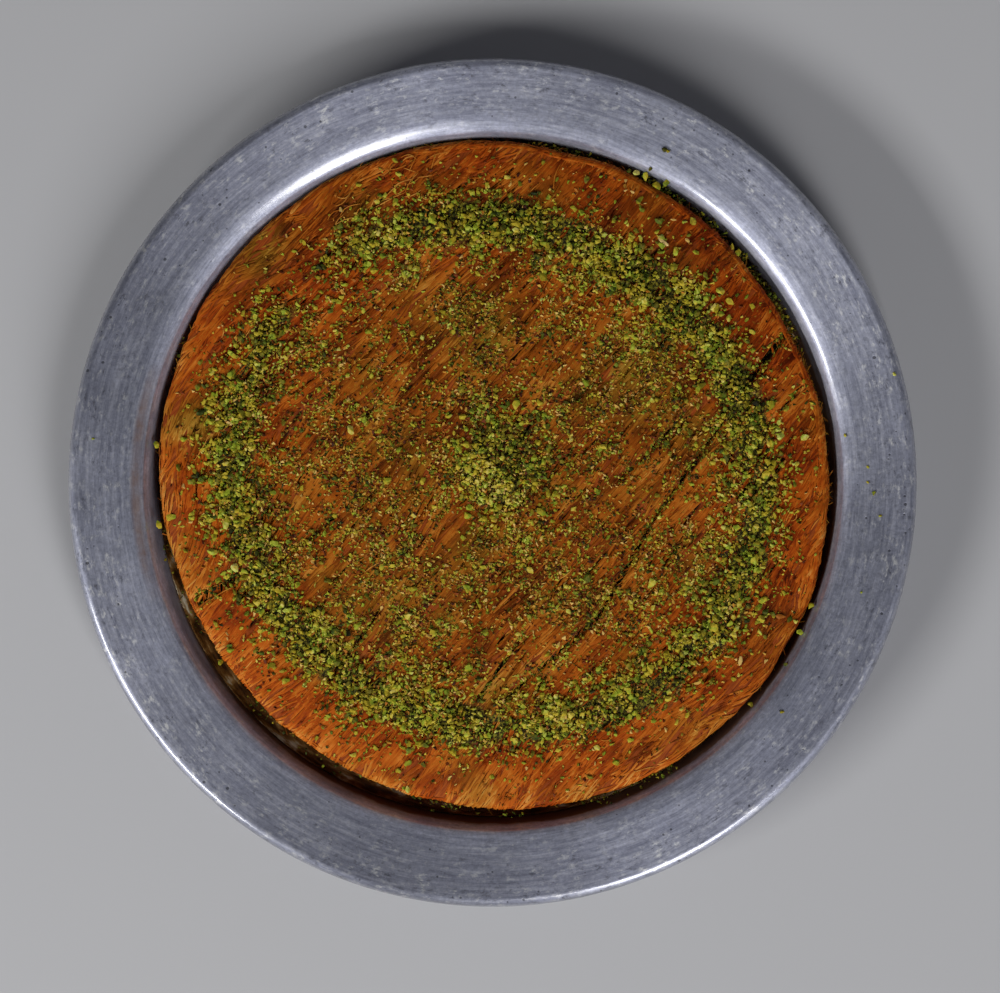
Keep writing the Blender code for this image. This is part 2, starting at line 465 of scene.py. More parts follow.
def addRingPlaces(tree):
    # Object coordinates, the direction from the tray's axis, the distance to it and the height
    place = addNode(tree, "TexCoord", output="Object")
    height = addNode(tree, "SeparateXYZ", place, output="Z")
    flat = addNode(tree, "CombineXYZ", height.node.outputs["X"], height.node.outputs["Y"])
    radius = addNode(tree, "VectorMath", flat, operation="LENGTH", output="Value")
    direction = addNode(tree, "VectorMath", flat, operation="NORMALIZE")
    return place, direction, radius, height


def addRingNoise(tree, direction, radius, size, detail, roughness):
    # Noise drawn out round the tray: its size round the rim and across it
    around, across = size
    wide = addNode(tree, "VectorMath", direction, operation="SCALE", Scale=110 * mm / around)
    away = addNode(tree, "Math", radius, across, operation="DIVIDE")
    place = addNode(tree, "VectorMath", wide, addNode(tree, "CombineXYZ", Z=away), operation="ADD")
    return addNode(tree, "TexNoise", place, Scale=1.0, Detail=detail, Roughness=roughness)


def makeAluminium():
    # Pressed aluminium sheet, dulled by years of use: rings from scouring, whitish specks and
    # short scratches, small dark pits, and butter baked brown on the inside of the wall, its brown
    # partly a painted reflection of the pastry's side. Painted shade darkens two sides of the rim,
    # the outer lip and the lit upper right of the wall, and painted light brightens the shoulder.
    # Scouring spreads the shine across its rings, and the coat is the rest of the polish.
    material, tree, shader = newMaterial("wornAluminium", {
        "Roughness": 0.56, "Anisotropic": 0.58, "Anisotropic Rotation": 0.25,
        "Coat Roughness": 0.17, "Coat IOR": 2.0})
    place, direction, radius, height = addRingPlaces(tree)
    scouring = addRingNoise(tree, direction, radius, (18 * mm, 1.2 * mm), 4.0, 0.8)
    scuffs = addRingNoise(tree, direction, radius, (2.6 * mm, 1.2 * mm), 3.0, 0.7)
    grains = addNode(tree, "TexNoise", place, Scale=1 / (1.1 * mm), Detail=3.0, Roughness=0.8)
    stains = addNode(tree, "TexNoise", place, Scale=1 / (15 * mm), Detail=5.0, Roughness=0.65,
                     Distortion=0.4)
    blotches = addNode(tree, "TexNoise", place, Scale=1 / (5 * mm), Detail=4.0, Roughness=0.6)
    outer = addNode(tree, "MapRange", radius, 100 * mm, 112 * mm, 0.35, 1.0)
    pits = addNode(tree, "TexVoronoi", place, Scale=1 / (2.2 * mm))
    cell = addNode(tree, "SeparateColor", pits.node.outputs["Color"])
    pitSize = addShare(tree, cell, (0.7, 1.0, 0.0, 0.2), outer)
    pitted = addNode(tree, "Math", pits, pitSize, operation="SUBTRACT")
    pitted = addNode(tree, "MapRange", pitted, 0.0, 0.05)
    worn = addShare(tree, blotches, (0.42, 0.6), outer)
    colour = addNode(tree, "ValToRGB", scouring,
                     stops=[(0.3, "979aae"), (0.5, "b6b9cc"), (0.7, "d6d8e8")])
    layers = [
        (1.0, addNode(tree, "MapRange", stains, 0.3, 0.7, 0.84, 1.06), "MULTIPLY"),
        (1.0, addNode(tree, "MapRange", grains, 0.25, 0.75, 0.78, 1.22), "MULTIPLY"),
        (addShare(tree, scuffs, (0.53, 0.66, 0.0, 0.9), worn), hexColour("f8f8fa"), "MIX"),
        (addShare(tree, scuffs, (0.45, 0.34, 0.0, 0.7), worn), hexColour("5c5d66"), "MIX"),
        (0.6, pitted, "MULTIPLY"),
        # The outermost edge of the lip is painted darker: painted shade for the dark surroundings it
        # reflects
        (1.0, addNode(tree, "MapRange", radius, 118.6 * mm, 119.8 * mm, 1.0, 0.62), "MULTIPLY"),
    ]
    # Two sides of the rim, at the lower left and the upper left, are painted darker: painted shade where the
    # rim catches less light
    rim = addNode(tree, "MapRange", radius, 101 * mm, 105 * mm)
    for towards, start, paintedSideShade in (((-0.34, -0.94, 0), 0.72, 0.76), ((-0.74, 0.67, 0), 0.78, 0.78)):
        side = addNode(tree, "VectorMath", direction, towards, operation="DOT_PRODUCT", output="Value")
        layers.append((rim, addNode(tree, "MapRange", side, start, 0.97, 1.0, paintedSideShade), "MULTIPLY"))
    # The shoulder is painted lighter: painted light
    paintedShoulderLight = addNode(tree, "MapRange", radius, 100.5 * mm, 103.5 * mm, 1.1, 1.0)     # shoulder
    layers.append((1.0, paintedShoulderLight, "MULTIPLY"))
    # A faint brown smear along the shoulder on the left
    along = addNode(tree, "SeparateXYZ", direction)
    smear = addShare(tree, along, (-0.94, -0.98), addNode(tree, "MapRange", blotches, 0.4, 0.6, 0.3, 0.65))
    aside = addNode(tree, "Math", radius, 101.0 * mm, operation="SUBTRACT")
    aside = addNode(tree, "Math", aside, operation="ABSOLUTE")
    band = addNode(tree, "MapRange", aside, 1.8 * mm, 0.6 * mm)
    smear = addNode(tree, "Math", smear, band, operation="MULTIPLY")
    layers.append((smear, hexColour("ae8a78"), "MIX"))
    # On the inside of the wall: painted shade at the upper right, where the wall is lit, and
    # baked butter that stands highest at the lower right, its brown partly a painted reflection of
    # the pastry's side
    facing = addNode(tree, "SeparateXYZ", place.node.outputs["Normal"], output="Z")
    inside = addNode(tree, "Math", facing, 0.0, operation="GREATER_THAN")
    away = addNode(tree, "VectorMath", direction, (0.7, 0.7, 0), operation="DOT_PRODUCT", output="Value")
    litWallShade = addShare(tree, away, (-0.2, 0.6, 0.0, 0.45), inside)
    low = addNode(tree, "MapRange", radius, 99.2 * mm, 97.8 * mm)
    litWallShade = addNode(tree, "Math", litWallShade, low, operation="MULTIPLY")
    layers.append((litWallShade, hexColour("6f6a66"), "MIX"))
    up = addNode(tree, "VectorMath", direction, (-0.6, 0.75, 0), operation="DOT_PRODUCT", output="Value")
    edge = addNode(tree, "Math", blotches, 5 * mm, height, operation="MULTIPLY_ADD")
    edge = addNode(tree, "Math", up, 7 * mm, edge, operation="MULTIPLY_ADD")
    depth = addShare(tree, edge, (10.5 * mm, 5.0 * mm), inside)
    low = addNode(tree, "MapRange", radius, 99.4 * mm, 98.4 * mm)
    butterAndReflection = addNode(tree, "Math", depth, low, operation="MULTIPLY")
    # The film's brown is partly baked butter and partly a painted reflection of the pastry's side
    filmAndReflection = addNode(tree, "ValToRGB", butterAndReflection, stops=[(0.0, "8c7c68"), (0.35, "6f4f34"), (1.0, "5f3c22")])
    layers.append((addNode(tree, "MapRange", butterAndReflection, 0.0, 0.45, 0.0, 0.96), filmAndReflection, "MIX"))
    for share, coat, blend in layers:
        colour = addNode(tree, "MixRGB", share, colour, coat, blend_type=blend)
    clean = addNode(tree, "MapRange", butterAndReflection, 0.0, 0.6, 1.0, 0.1)
    bright = addNode(tree, "MapRange", radius, 97.6 * mm, 98.8 * mm, 0.7, 1.0)      # the wall is matt
    normal = addNode(tree, "Bump", Height=scouring, Strength=0.5, Distance=0.03 * mm)
    for relief, strength, rise in ((scuffs, 0.5, 0.05), (grains, 0.5, 0.07), (blotches, 0.3, 0.14),
                                   (pitted, 0.5, 0.06)):
        normal = addNode(tree, "Bump", Height=relief, Strength=strength, Distance=rise * mm, Normal=normal)
    for socket, source in (
            ("Base Color", colour),
            ("Metallic", addNode(tree, "Math", clean, bright, operation="MULTIPLY")),
            ("Coat Weight", addNode(tree, "MapRange", radius, 97.8 * mm, 99.0 * mm, 0.2, 1.0)),
            ("Tangent", addNode(tree, "Tangent", direction_type="RADIAL", axis="Z")),
            ("Normal", normal)):
        tree.links.new(source, shader.inputs[socket])
    return material


def makeTray():
    section = [(r, z) for r, z, slope in upperFace]
    for r, z, slope in reversed(upperFace):
        section.append((r + tray["sheet"] * math.sin(slope), z - tray["sheet"] * math.cos(slope)))
    bm = spunSection(section, tray["turns"], False)
    start, reach = tray["dentStart"]
    for vert in bm.verts:      # the sheet is a little uneven where nothing presses on it
        out = min(1, max(0, (vert.co.xy.length - start) / reach))
        vert.co.z += out * tray["dent"] * noise.noise(vert.co / tray["dentSize"])
        vert.co.xy += Vector(tray["wellShift"]) * (1 - out)
    mesh = meshFrom(bm, "tray")
    mesh.shade_smooth()
    mesh.set_sharp_from_angle(angle=50 * degree)
    addPiece("pressedTray", mesh, makeAluminium(), "tray")


makeTray()
print("tray made")


# Syrup and butter that ran down into the gap

syrup = {
    "foot": 1.5 * mm,
    "level": 2.9 * mm,
    "climb": 1.0 * mm,           # how far it creeps up the wall, over the last climbRun
    "climbRun": 2 * mm,
    "inner": 86 * mm,
    "outer": 95.6 * mm,
    "turns": 240,
}


def makeSyrup():
    # Butter and sugar syrup, clear brown and smooth; the pale streaks in its colour are painted glints
    material, tree, shader = newMaterial("syrup", {"Roughness": 0.12})
    place, direction, radius, height = addRingPlaces(tree)
    ripplesAndGlints = addRingNoise(tree, direction, radius, (9 * mm, 2.0 * mm), 3.0, 0.6)
    colour = addNode(tree, "ValToRGB", ripplesAndGlints,
                     stops=[(0.38, "33200f"), (0.5, "63401c"), (0.6, "94703f"), (0.7, "d8d0b4")])
    tree.links.new(colour, shader.inputs["Base Color"])
    normal = addNode(tree, "Bump", Height=ripplesAndGlints, Strength=0.7, Distance=0.8 * mm)
    tree.links.new(normal, shader.inputs["Normal"])
    level, outer, run = syrup["level"], syrup["outer"], syrup["climbRun"]
    section = [(syrup["inner"], syrup["foot"]), (syrup["inner"], level), (outer - run, level)]
    for share in (0.2, 0.4, 0.6, 0.8, 1.0):
        section.append((outer - run * (1 - share), level + syrup["climb"] * share ** 2))
    section += [(outer - 0.5 * mm, 2.6 * mm), (outer - 2.6 * mm, syrup["foot"])]
    bm = spunSection(section, syrup["turns"], True)
    bmesh.ops.translate(bm, verts=bm.verts, vec=(*tray["wellShift"], 0))
    mesh = meshFrom(bm, "syrup")
    mesh.shade_smooth()
    addPiece("syrupInGap", mesh, material)


makeSyrup()


# Core of the pastry: the whole form, which the strands and nuts lie on

core = {
    "along": 150,
    "across": 510,
    "edgeSteps": 5,
    "sideSteps": 4,
    "footSteps": 3,
    "nutShare": 0.4,        # how much of the piled height is solid beneath the loose crumbs
}


def coreRings():
    # From the top's border down the side: the inset from the outline and the drop
    turn, rings = pastry["edgeBend"], []
    for step in range(1, core["edgeSteps"] + 1):
        angle = step / core["edgeSteps"] * math.pi / 2
        rings.append((turn * (1 - math.sin(angle)), -turn * (1 - math.cos(angle))))
    edge, foot = borderHeight - turn, pastry["sideFoot"]
    for step in range(1, core["sideSteps"] + 1):
        share = step / core["sideSteps"]
        rings.append((pastry["sideTaper"] * share, edge + (foot - edge) * share - borderHeight))
    for step in range(1, core["footSteps"] + 1):
        angle = step / core["footSteps"] * math.pi / 2
        inset = pastry["sideTaper"] + (pastry["bottomInset"] - pastry["sideTaper"]) * (1 - math.cos(angle))
        height = foot + (pastry["bottom"] - foot) * math.sin(angle)
        rings.append((inset, height - borderHeight))
    return rings


def addStrandNoise(tree, place, size, **look):
    # Noise drawn out along the strands, its size along and across them and upwards
    turn = addNode(tree, "Mapping", place, vector_type="TEXTURE", Scale=size,
                   Rotation=(0, 0, pastry["strandAngle"]))
    return addNode(tree, "TexNoise", turn, Scale=1.0, Detail=3.0, **look)


def makeBakedCore():
    # Baked shredded dough, soaked with butter: a little darker than the strands, as painted
    # shade where it shows between them, and olive with ground pistachio where the nuts lie thick,
    # darkened further there as painted shade between the nuts
    material, tree, shader = newMaterial("bakedCore", {"Roughness": 0.7, "Specular IOR Level": 0.15})
    place = addNode(tree, "TexCoord", output="Object")
    fibre = addStrandNoise(tree, place, (7 * mm, 0.5 * mm, 1.5 * mm), Roughness=0.6)
    brown = addNode(tree, "ValToRGB", fibre, stops=[(0.3, "6b2808"), (0.5, "93410f"), (0.75, "b05a19")])
    grain = addNode(tree, "TexNoise", place, Scale=1 / (0.8 * mm), Detail=3.0, Roughness=0.8)
    nutGroundAndShade = addNode(tree, "ValToRGB", grain, stops=[(0.4, "140f03"), (0.5, "39320a"), (0.62, "8c8326")])
    cover = addNode(tree, "Attribute", attribute_name="nutCover", output="Fac")
    colour = addNode(tree, "MixRGB", cover, brown, nutGroundAndShade)
    # Down in the splits the core is painted dark: painted shade
    paintedSplitShade = addNode(tree, "Attribute", attribute_name="splitDepth", output="Fac")
    colour = addNode(tree, "MixRGB", paintedSplitShade, colour, hexColour("2e1c0b"))
    tree.links.new(colour, shader.inputs["Base Color"])
    normal = addNode(tree, "Bump", Height=fibre, Strength=0.6, Distance=0.3 * mm)
    tree.links.new(normal, shader.inputs["Normal"])
    return material


def makeCore():
    rings = coreRings()
    bm = bmesh.new()
    bmesh.ops.create_grid(bm, x_segments=core["along"], y_segments=core["across"], size=1)
    border = [edge for edge in bm.edges if edge.is_boundary]
    for ring in rings:         # one storey down for each ring; the heights come later
        grown = bmesh.ops.extrude_edge_only(bm, edges=border)["geom"]
        fresh = [item for item in grown if isinstance(item, bmesh.types.BMVert)]
        border = [item for item in grown if isinstance(item, bmesh.types.BMEdge) and item.is_boundary]
        bmesh.ops.translate(bm, verts=fresh, vec=(0, 0, -1))
    bmesh.ops.edgeloop_fill(bm, edges=border)
    bmesh.ops.recalc_face_normals(bm, faces=bm.faces)
    mesh = meshFrom(bm, "pastryCore")
    spots = np.zeros(len(mesh.vertices) * 3)
    mesh.vertices.foreach_get("co", spots)
    s, t, depth = spots.reshape(-1, 3).T
    storey = np.rint(-depth).astype(int)
    discX, discY = turned(s * np.sqrt(1 - t * t / 2), t * np.sqrt(1 - s * s / 2), pastry["strandAngle"])
    angle = np.arctan2(discY, discX)
    insets, drops = np.array([(pastry["edgeBend"], 0), *rings])[storey].T
    x, y = fromCentre(np.hypot(discX, discY) * (outline(angle) - insets), angle)
    piled, onTop = nutLayer(x, y), storey == 0
    fade = np.clip(1 - storey / core["edgeSteps"], 0, 1)
    top = pastryTop(x, y) + core["nutShare"] * piled
    z = borderHeight + drops + (top - borderHeight) * fade
    mesh.vertices.foreach_set("co", np.stack([x, y, z], 1).ravel())
    setAttribute(mesh, "nutCover", np.clip(piled / nutRing["height"] * 2.2 - 0.45, 0, 1) * onTop)
    setAttribute(mesh, "splitDepth", np.clip(splitDepth(x, y) / (1.2 * mm), 0, 1) * onTop)
    mesh.update()
    mesh.shade_smooth()
    addPiece("pastryCore", mesh, makeBakedCore(), "kunafa")


makeCore()
print("core of the pastry made")


# How thickly the nuts and crumbs are strewn

# Radius of the ring's middle in mm, and how thick it is strewn, every 15 degrees from +X
ringMarks = [
    (72.9, 0.90), (72.0, 0.95), (70.6, 1.00), (70.6, 0.90), (69.2, 0.90), (69.2, 0.80),
    (72.0, 0.90), (72.6, 0.90), (72.6, 0.70), (72.9, 0.40), (76.2, 0.75), (75.7, 0.90),
    (74.3, 1.00), (74.8, 0.95), (73.4, 1.00), (74.0, 0.80), (72.9, 1.00), (70.6, 1.00),
    (72.0, 0.80), (72.3, 1.00), (70.6, 0.95), (74.3, 0.75), (75.1, 0.95), (74.8, 0.90),
]

nuts = {
    "coarse": {"count": 560, "size": (2.0 * mm, 3.5 * mm), "corners": 16, "ring": 1.0, "heap": 0.3,
               "inner": 0.12, "margin": 0.014, "splits": 0.1, "shade": (0.58, 0.15), "seed": 21},
    "medium": {"count": 5200, "size": (1.2 * mm, 2.5 * mm), "corners": 12, "ring": 1.0, "heap": 0.9,
               "inner": 0.12, "margin": 0.007, "splits": 0.2, "shade": (0.56, 0.17), "seed": 22},
    "fine": {"count": 13500, "size": (0.8 * mm, 1.6 * mm), "corners": 7, "ring": 1.0, "heap": 1.0,
             "inner": 0.4, "margin": 0.009, "splits": 0.6, "shade": (0.54, 0.2), "seed": 23},
    "dust": {"count": 9500, "size": (0.8 * mm, 1.8 * mm), "corners": 7, "ring": 0.3, "heap": 0.3,
             "inner": 1.0, "margin": 0.02, "splits": 0.6, "shade": (0.46, 0.26), "seed": 24},
    "toasted": {"count": 14500, "size": (0.8 * mm, 1.9 * mm), "corners": 7, "ring": 0.4, "heap": 0.3,
                "inner": 1.0, "margin": 0.03, "splits": 0.0, "shade": (0.47, 0.3), "seed": 25},
}

# Clumps of the ring: place and reach in mm, and strength
ringClumps = [
    (-43.1, 65.7, 5.6, 0.6), (-34.6, 67.6, 5.6, 0.9), (-24.7, 70.7, 5.1, 0.8), (-14.8, 71.9, 4.5, 0.5),
    (-4.9, 72.4, 5.6, 0.9), (6.4, 71.3, 6.2, 0.8), (14.8, 67.1, 4.5, 0.4), (27.5, 63.4, 6.8, 1.0),
    (37.4, 57.2, 6.2, 0.8), (47.3, 51.5, 6.2, 0.8), (55.8, 47.3, 6.8, 0.9), (62.0, 38.8, 5.6, 0.9),
    (64.8, 28.9, 5.6, 0.8), (69.3, 21.9, 5.1, 0.8), (73.3, 12.0, 6.2, 0.9), (76.1, 0.7, 6.2, 0.8),
    (77.8, -10.6, 5.6, 0.7), (73.3, -21.9, 6.2, 0.7), (65.7, -31.8, 6.2, 0.6), (62.8, -41.7, 6.8, 0.8),
    (52.9, -48.7, 6.8, 0.8), (38.8, -55.8, 6.8, 0.6), (27.5, -63.7, 6.2, 0.9), (17.6, -65.9, 6.8, 1.0),
    (10.6, -64.8, 4.0, 0.7), (-4.9, -72.7, 5.1, 0.5), (-16.2, -64.8, 6.8, 1.0), (-26.1, -61.4, 6.8, 0.9),
    (-37.4, -58.6, 6.8, 0.9), (-41.7, -52.4, 4.5, 0.6), (-50.1, -45.9, 6.2, 1.0), (-58.6, -38.8, 6.2, 0.9),
    (-65.1, -30.4, 6.2, 0.7), (-71.3, -14.8, 6.2, 0.9), (-74.7, -4.9, 6.8, 1.0), (-75.5, 7.8, 6.2, 0.9),
    (-72.7, 20.5, 6.2, 1.0), (-70.7, 31.8, 5.6, 0.8), (-68.5, 41.7, 5.6, 0.8), (-62.8, 47.3, 5.1, 0.6),
    (-54.4, 51.5, 4.5, 0.3), (-26.1, 78.4, 5.1, 0.35), (-14.8, 79.8, 5.1, 0.4), (-2.1, 78.4, 5.6, 0.45),
    (10.6, 76.4, 5.1, 0.45), (27.5, 75.5, 4.5, 0.3), (41.7, 67.1, 4.5, 0.3),
]

# The heap in the middle, the same way
heapClumps = [(-1, 1, 7.5, 1.4), (3, 13, 8.5, 0.9), (12, 12, 7, 0.5), (13, 0, 7, 0.4), (-6, 9, 6, 0.6),
              (1, -8, 5, 0.3)]

# Patches of the inner part where crumbs lie thicker
dustPatches = [
    (-3, 44, 9, 1.0), (38, 24, 13, 0.6), (-35, -23, 15, 0.6), (-46, -2, 13, 0.5), (-19, -40, 12, 0.5),
    (16, 2, 12, 0.7), (-5, 22, 9, 0.6), (16, -20, 13, 0.7), (30, -32, 12, 0.5), (50, -20, 11, 0.4),
    (-52, 36, 8, 0.5), (46, 40, 9, 0.5), (-30, 14, 10, 0.4), (24, 48, 8, 0.4), (-28, -48, 8, 0.4),
]

# Streaks that are nearly bare: place, reach along and across the strands in mm, and strength
bareStreaks = [
    (-48.7, -26.1, 12.7, 4.5, 0.8), (-34.6, -45.9, 7.1, 4.5, 0.8), (1.3, -56.3, 8.5, 4.5, 0.9),
    (13.4, -45.9, 5.1, 2.8, 0.6), (30.4, -45.9, 8.5, 4.5, 0.7), (48.7, -9.2, 9.9, 3.4, 0.8),
    (-10.6, -12.0, 9.9, 4.0, 0.8), (-33.2, 58.6, 7.1, 4.0, 0.7), (-16.2, 58.6, 14.1, 4.0, 0.9),
    (4.9, 62.3, 5.6, 3.4, 0.6), (30.4, 48.7, 7.1, 4.0, 0.7), (23.3, 36.0, 8.5, 3.4, 0.6),
    (-54.4, 24.7, 11.3, 3.4, 0.7), (-34.6, 44.5, 6.2, 3.4, 0.7), (61.4, 20.5, 6.2, 2.5, 0.7),
]

# Where the nuts are lighter or darker, the same way as the clumps
nutTones = [(-1.5, 0.5, 6, 0.28), (5, -3, 5, 0.24), (-6, 3, 5, 0.1), (5.5, 9.5, 6, -0.27),
            (15, 3.5, 5, -0.16), (-6, 9, 5, -0.08), (-8, 80, 12, -0.06), (14, 78, 12, -0.06),
            (-72, -4, 12, -0.06), (70, 30, 10, -0.06), (-28, 69, 10, 0.12), (27, 63, 8, 0.1),
            (-54, -43, 9, 0.06), (-16, -65, 10, 0.08), (18, -66, 9, 0.08), (40, -56, 8, -0.08)]

ringField, heapField = spotSum(ringClumps, mapX, mapY), spotSum(heapClumps, mapX, mapY)
dustField, nutToneField = spotSum(dustPatches, mapX, mapY), spotSum(nutTones, mapX, mapY)
bareField = np.zeros_like(mapX)
for cx, cy, length, width, strength in bareStreaks:
    along, across = turned(mapX - cx * mm, mapY - cy * mm, -pastry["strandAngle"])
    away = (along / (length * mm)) ** 2 + (across / (width * mm)) ** 2
    bareField = np.maximum(bareField, strength * np.exp(-away ** 1.5))


def markedRing(angle):
    marks = np.array(ringMarks + ringMarks[:1])
    turn = (angle / degree) % 360
    steps = np.arange(len(marks)) * 15
    return np.interp(turn, steps, marks[:, 0]) * mm, np.interp(turn, steps, marks[:, 1])


def nutDensity(kind, x, y):
    radius, angle = polar(x, y)
    middle, strength = markedRing(angle)
    off = (radius - middle) / nutRing["halfWidth"]
    clumps = np.clip(0.5 + 1.6 * sampleMap(clumpMap, x, y), 0.05, 1.3)
    ring = 0.42 * strength * np.exp(-np.abs(off / np.where(off < 0, 1.6, 1.3)) ** 2.2)
    ring = kind["ring"] * (ring + 0.75 * sampleMap(ringField, x, y)) * (0.3 + 0.85 * clumps)
    heap = kind["heap"] * sampleMap(heapField, x, y) * (0.5 + 0.7 * clumps)
    patches = 0.3 + 0.8 * np.maximum(0, sampleMap(patchMap, x, y)) + 0.7 * sampleMap(dustField, x, y)
    inner = kind["inner"] * patches * np.clip(-off, 0, 1) * (0.2 + clumps)
    margin = kind["margin"] * (off > 0)
    fallen = kind["splits"] * np.minimum(1, sampleMap(splitMap, x, y) / (1.2 * mm))
    density = (ring + heap + inner + margin) * (1 - sampleMap(bareField, x, y)) + fallen
    return np.clip(density, 0, 1.3) / 1.3 * (radius < outline(angle) - 1.2 * mm)


# Strands of the pastry, laid in tufts that lean a little differently

strands = {
    "top": {"tufts": 570, "perTuft": (8, 15), "zone": (0, 88 * mm), "length": (11 * mm, 26 * mm),
            "turn": 7 * degree, "scatter": 3 * degree, "curl": 2 * degree, "lift": 0.24 * mm,
            "thickness": 0.72 * mm, "seed": 11},
    "edge": {"tufts": 500, "perTuft": (6, 11), "zone": (79 * mm, 97.5 * mm),
             "length": (4.5 * mm, 10 * mm), "turn": 10 * degree, "scatter": 5 * degree,
             "curl": 3 * degree, "lift": 0.24 * mm, "thickness": 0.62 * mm, "seed": 12},
    "border": {"count": 260, "length": (6 * mm, 20 * mm), "inset": (0.1 * mm, 1.7 * mm),
               "drift": 1.6 * mm, "lift": 0.2 * mm, "thickness": 0.6 * mm, "seed": 13},
    "flatness": 0.3,
    "spacing": 0.42 * mm,
    "segments": 6,
    "overhang": (3.4 * mm, 0.9 * mm),      # how far strands run on past the outline, and its spread
    "tuftDrift": 1.5 * mm,
    "aside": 0.12 * mm,                    # how unevenly strands lie side by side
    "back": 2.2 * mm,                      # and how far one lies behind another
    "breadths": (0.75, 1.25),
    "rest": 0.1 * mm,                      # how high a strand lies, and how deep its ends dip
    "dip": 0.15 * mm,
}

# Where the strands are darker or lighter, partly their own tone and partly painted shade at
# the upper right and painted light at the lower left: place and reach in mm, and strength
strandTonesAndShade = [
    (0, 5, 55, -0.05), (65, 52, 27, -0.18), (50, 68, 16, -0.1), (-74, 46, 12, -0.08),
    (-92, -4, 18, 0.08), (-10, 80, 20, -0.1), (-58, 62, 20, -0.1), (-62, -62, 30, 0.05),
    (57, -70, 8, -0.14), (82, -45, 14, -0.18), (-39, 77, 7, -0.1), (-58, 58, 8, 0.08),
    (84, 44, 8, 0.08), (-46, -80, 12, 0.06), (0, 90, 8, 0.06), (20, 86, 8, -0.06),
    (-75, -50, 18, 0.05), (-92, 0, 14, 0.08), (15, -22, 15, -0.14), (92, -20, 20, -0.03),
    (-16, 58, 12, 0.08), (-5, 20, 14, -0.1), (1, -56, 10, 0.08), (-10, -12, 10, 0.05),
    (48, -9, 10, 0.06),
]

# Where they have an olive tint from the nuts, the same way
strandOlives = [
    (-83, 17, 8, 0.9), (-42, 76, 10, 0.35), (-18, 84, 7, 0.35), (2, -61, 8, 0.5), (15, 80, 8, 0.5),
    (-68, 66, 10, 0.35), (42, 32, 12, 0.6), (56, 15, 8, 0.5), (-3, 44, 10, 0.6),
    (-30, -35, 12, 0.4), (40, 74, 10, 0.25), (80, -45, 12, 0.3),
]
strandToneAndShadeField, strandOliveField = spotSum(strandTonesAndShade, mapX, mapY), spotSum(strandOlives, mapX, mapY)


def strandPaths(x, y, turn, curl, length):
    # Follows the strand direction both ways from a middle point
    segments = strands["segments"]
    half, step = segments // 2, length / segments
    places = np.zeros((len(x), segments + 1, 2))
    places[:, half] = np.stack([x, y], 1)
    for way in (1, -1):
        atX, atY = x.copy(), y.copy()
        for k in range(1, half + 1):
            angle = strandDirection(atX, atY) + turn + curl * k * way
            atX = atX + way * step * np.cos(angle)
            atY = atY + way * step * np.sin(angle)
            places[:, half + way * k] = np.stack([atX, atY], 1)
    return places


def trimPaths(places, reach):
    # Shortens each path to what lies on the pastry; reach is how far it may run past the outline
    count, points = places.shape[:2]
    radius, angle = polar(places[..., 0], places[..., 1])
    room = outline(angle) + reach[:, None] - radius
    inside = room > 0
    first = np.argmax(inside, 1)
    last = points - 1 - np.argmax(inside[:, ::-1], 1)
    rows = np.arange(count)
    before, after = np.maximum(first - 1, 0), np.minimum(last + 1, points - 1)
    roomFirst, roomBefore = room[rows, first], room[rows, before]
    roomLast, roomAfter = room[rows, last], room[rows, after]
    start = first - np.where(first > before, roomFirst / np.maximum(roomFirst - roomBefore, 1e-9), 0)
    end = last + np.where(after > last, roomLast / np.maximum(roomLast - roomAfter, 1e-9), 0)
    spots = start[:, None] + (end - start)[:, None] * np.linspace(0, 1, points)[None, :]
    index = np.clip(spots.astype(int), 0, points - 2)
    part = (spots - index)[..., None]
    trimmed = places[rows[:, None], index] * (1 - part) + places[rows[:, None], index + 1] * part
    keep = inside.any(1) & (end - start > 0.2 * (points - 1))
    return trimmed[keep], keep


def rodTemplate(sides, segments):
    # A rod of unit length and half width, cut into segments, with one corner upwards
    bm = bmesh.new()
    bmesh.ops.create_circle(bm, cap_ends=True, segments=sides, radius=1)
    top = list(bm.faces)
    for step in range(segments):
        grown = bmesh.ops.extrude_face_region(bm, geom=top)["geom"]
        top = [item for item in grown if isinstance(item, bmesh.types.BMFace)]
        fresh = [item for item in grown if isinstance(item, bmesh.types.BMVert)]
        bmesh.ops.translate(bm, verts=fresh, vec=(0, 0, 1))
    inner = [face for face in bm.faces if abs(face.normal.z) > 0.5
             and 0.5 < face.calc_center_median().z < segments - 0.5]
    bmesh.ops.delete(bm, geom=inner, context="FACES_ONLY")
    bmesh.ops.recalc_face_normals(bm, faces=bm.faces)
    bm.verts.index_update()
    corners = np.array([vert.co for vert in bm.verts])
    lead = corners[np.argmin(corners[:, 2])]
    x, y = turned(corners[:, 0], corners[:, 1], math.pi / 2 - math.atan2(lead[1], lead[0]))
    corners[:, 0], corners[:, 1] = x, y
    faces = [[vert.index for vert in face.verts] for face in bm.faces]
    bm.free()
    return corners, faces


def shadedMesh(name, spots, faces, shade):
    mesh = bpy.data.meshes.new(name)
    mesh.from_pydata(spots.tolist(), [], faces)
    setAttribute(mesh, "shade", shade)
    return mesh


def copiedFaces(faces, corners, copies):
    # The faces of a shape, once for each copy of its corners
    together = []
    for size in sorted({len(face) for face in faces}):
        alike = np.array([face for face in faces if len(face) == size])
        moved = alike[None] + corners * np.arange(copies)[:, None, None]
        together += moved.reshape(-1, size).tolist()
    return together


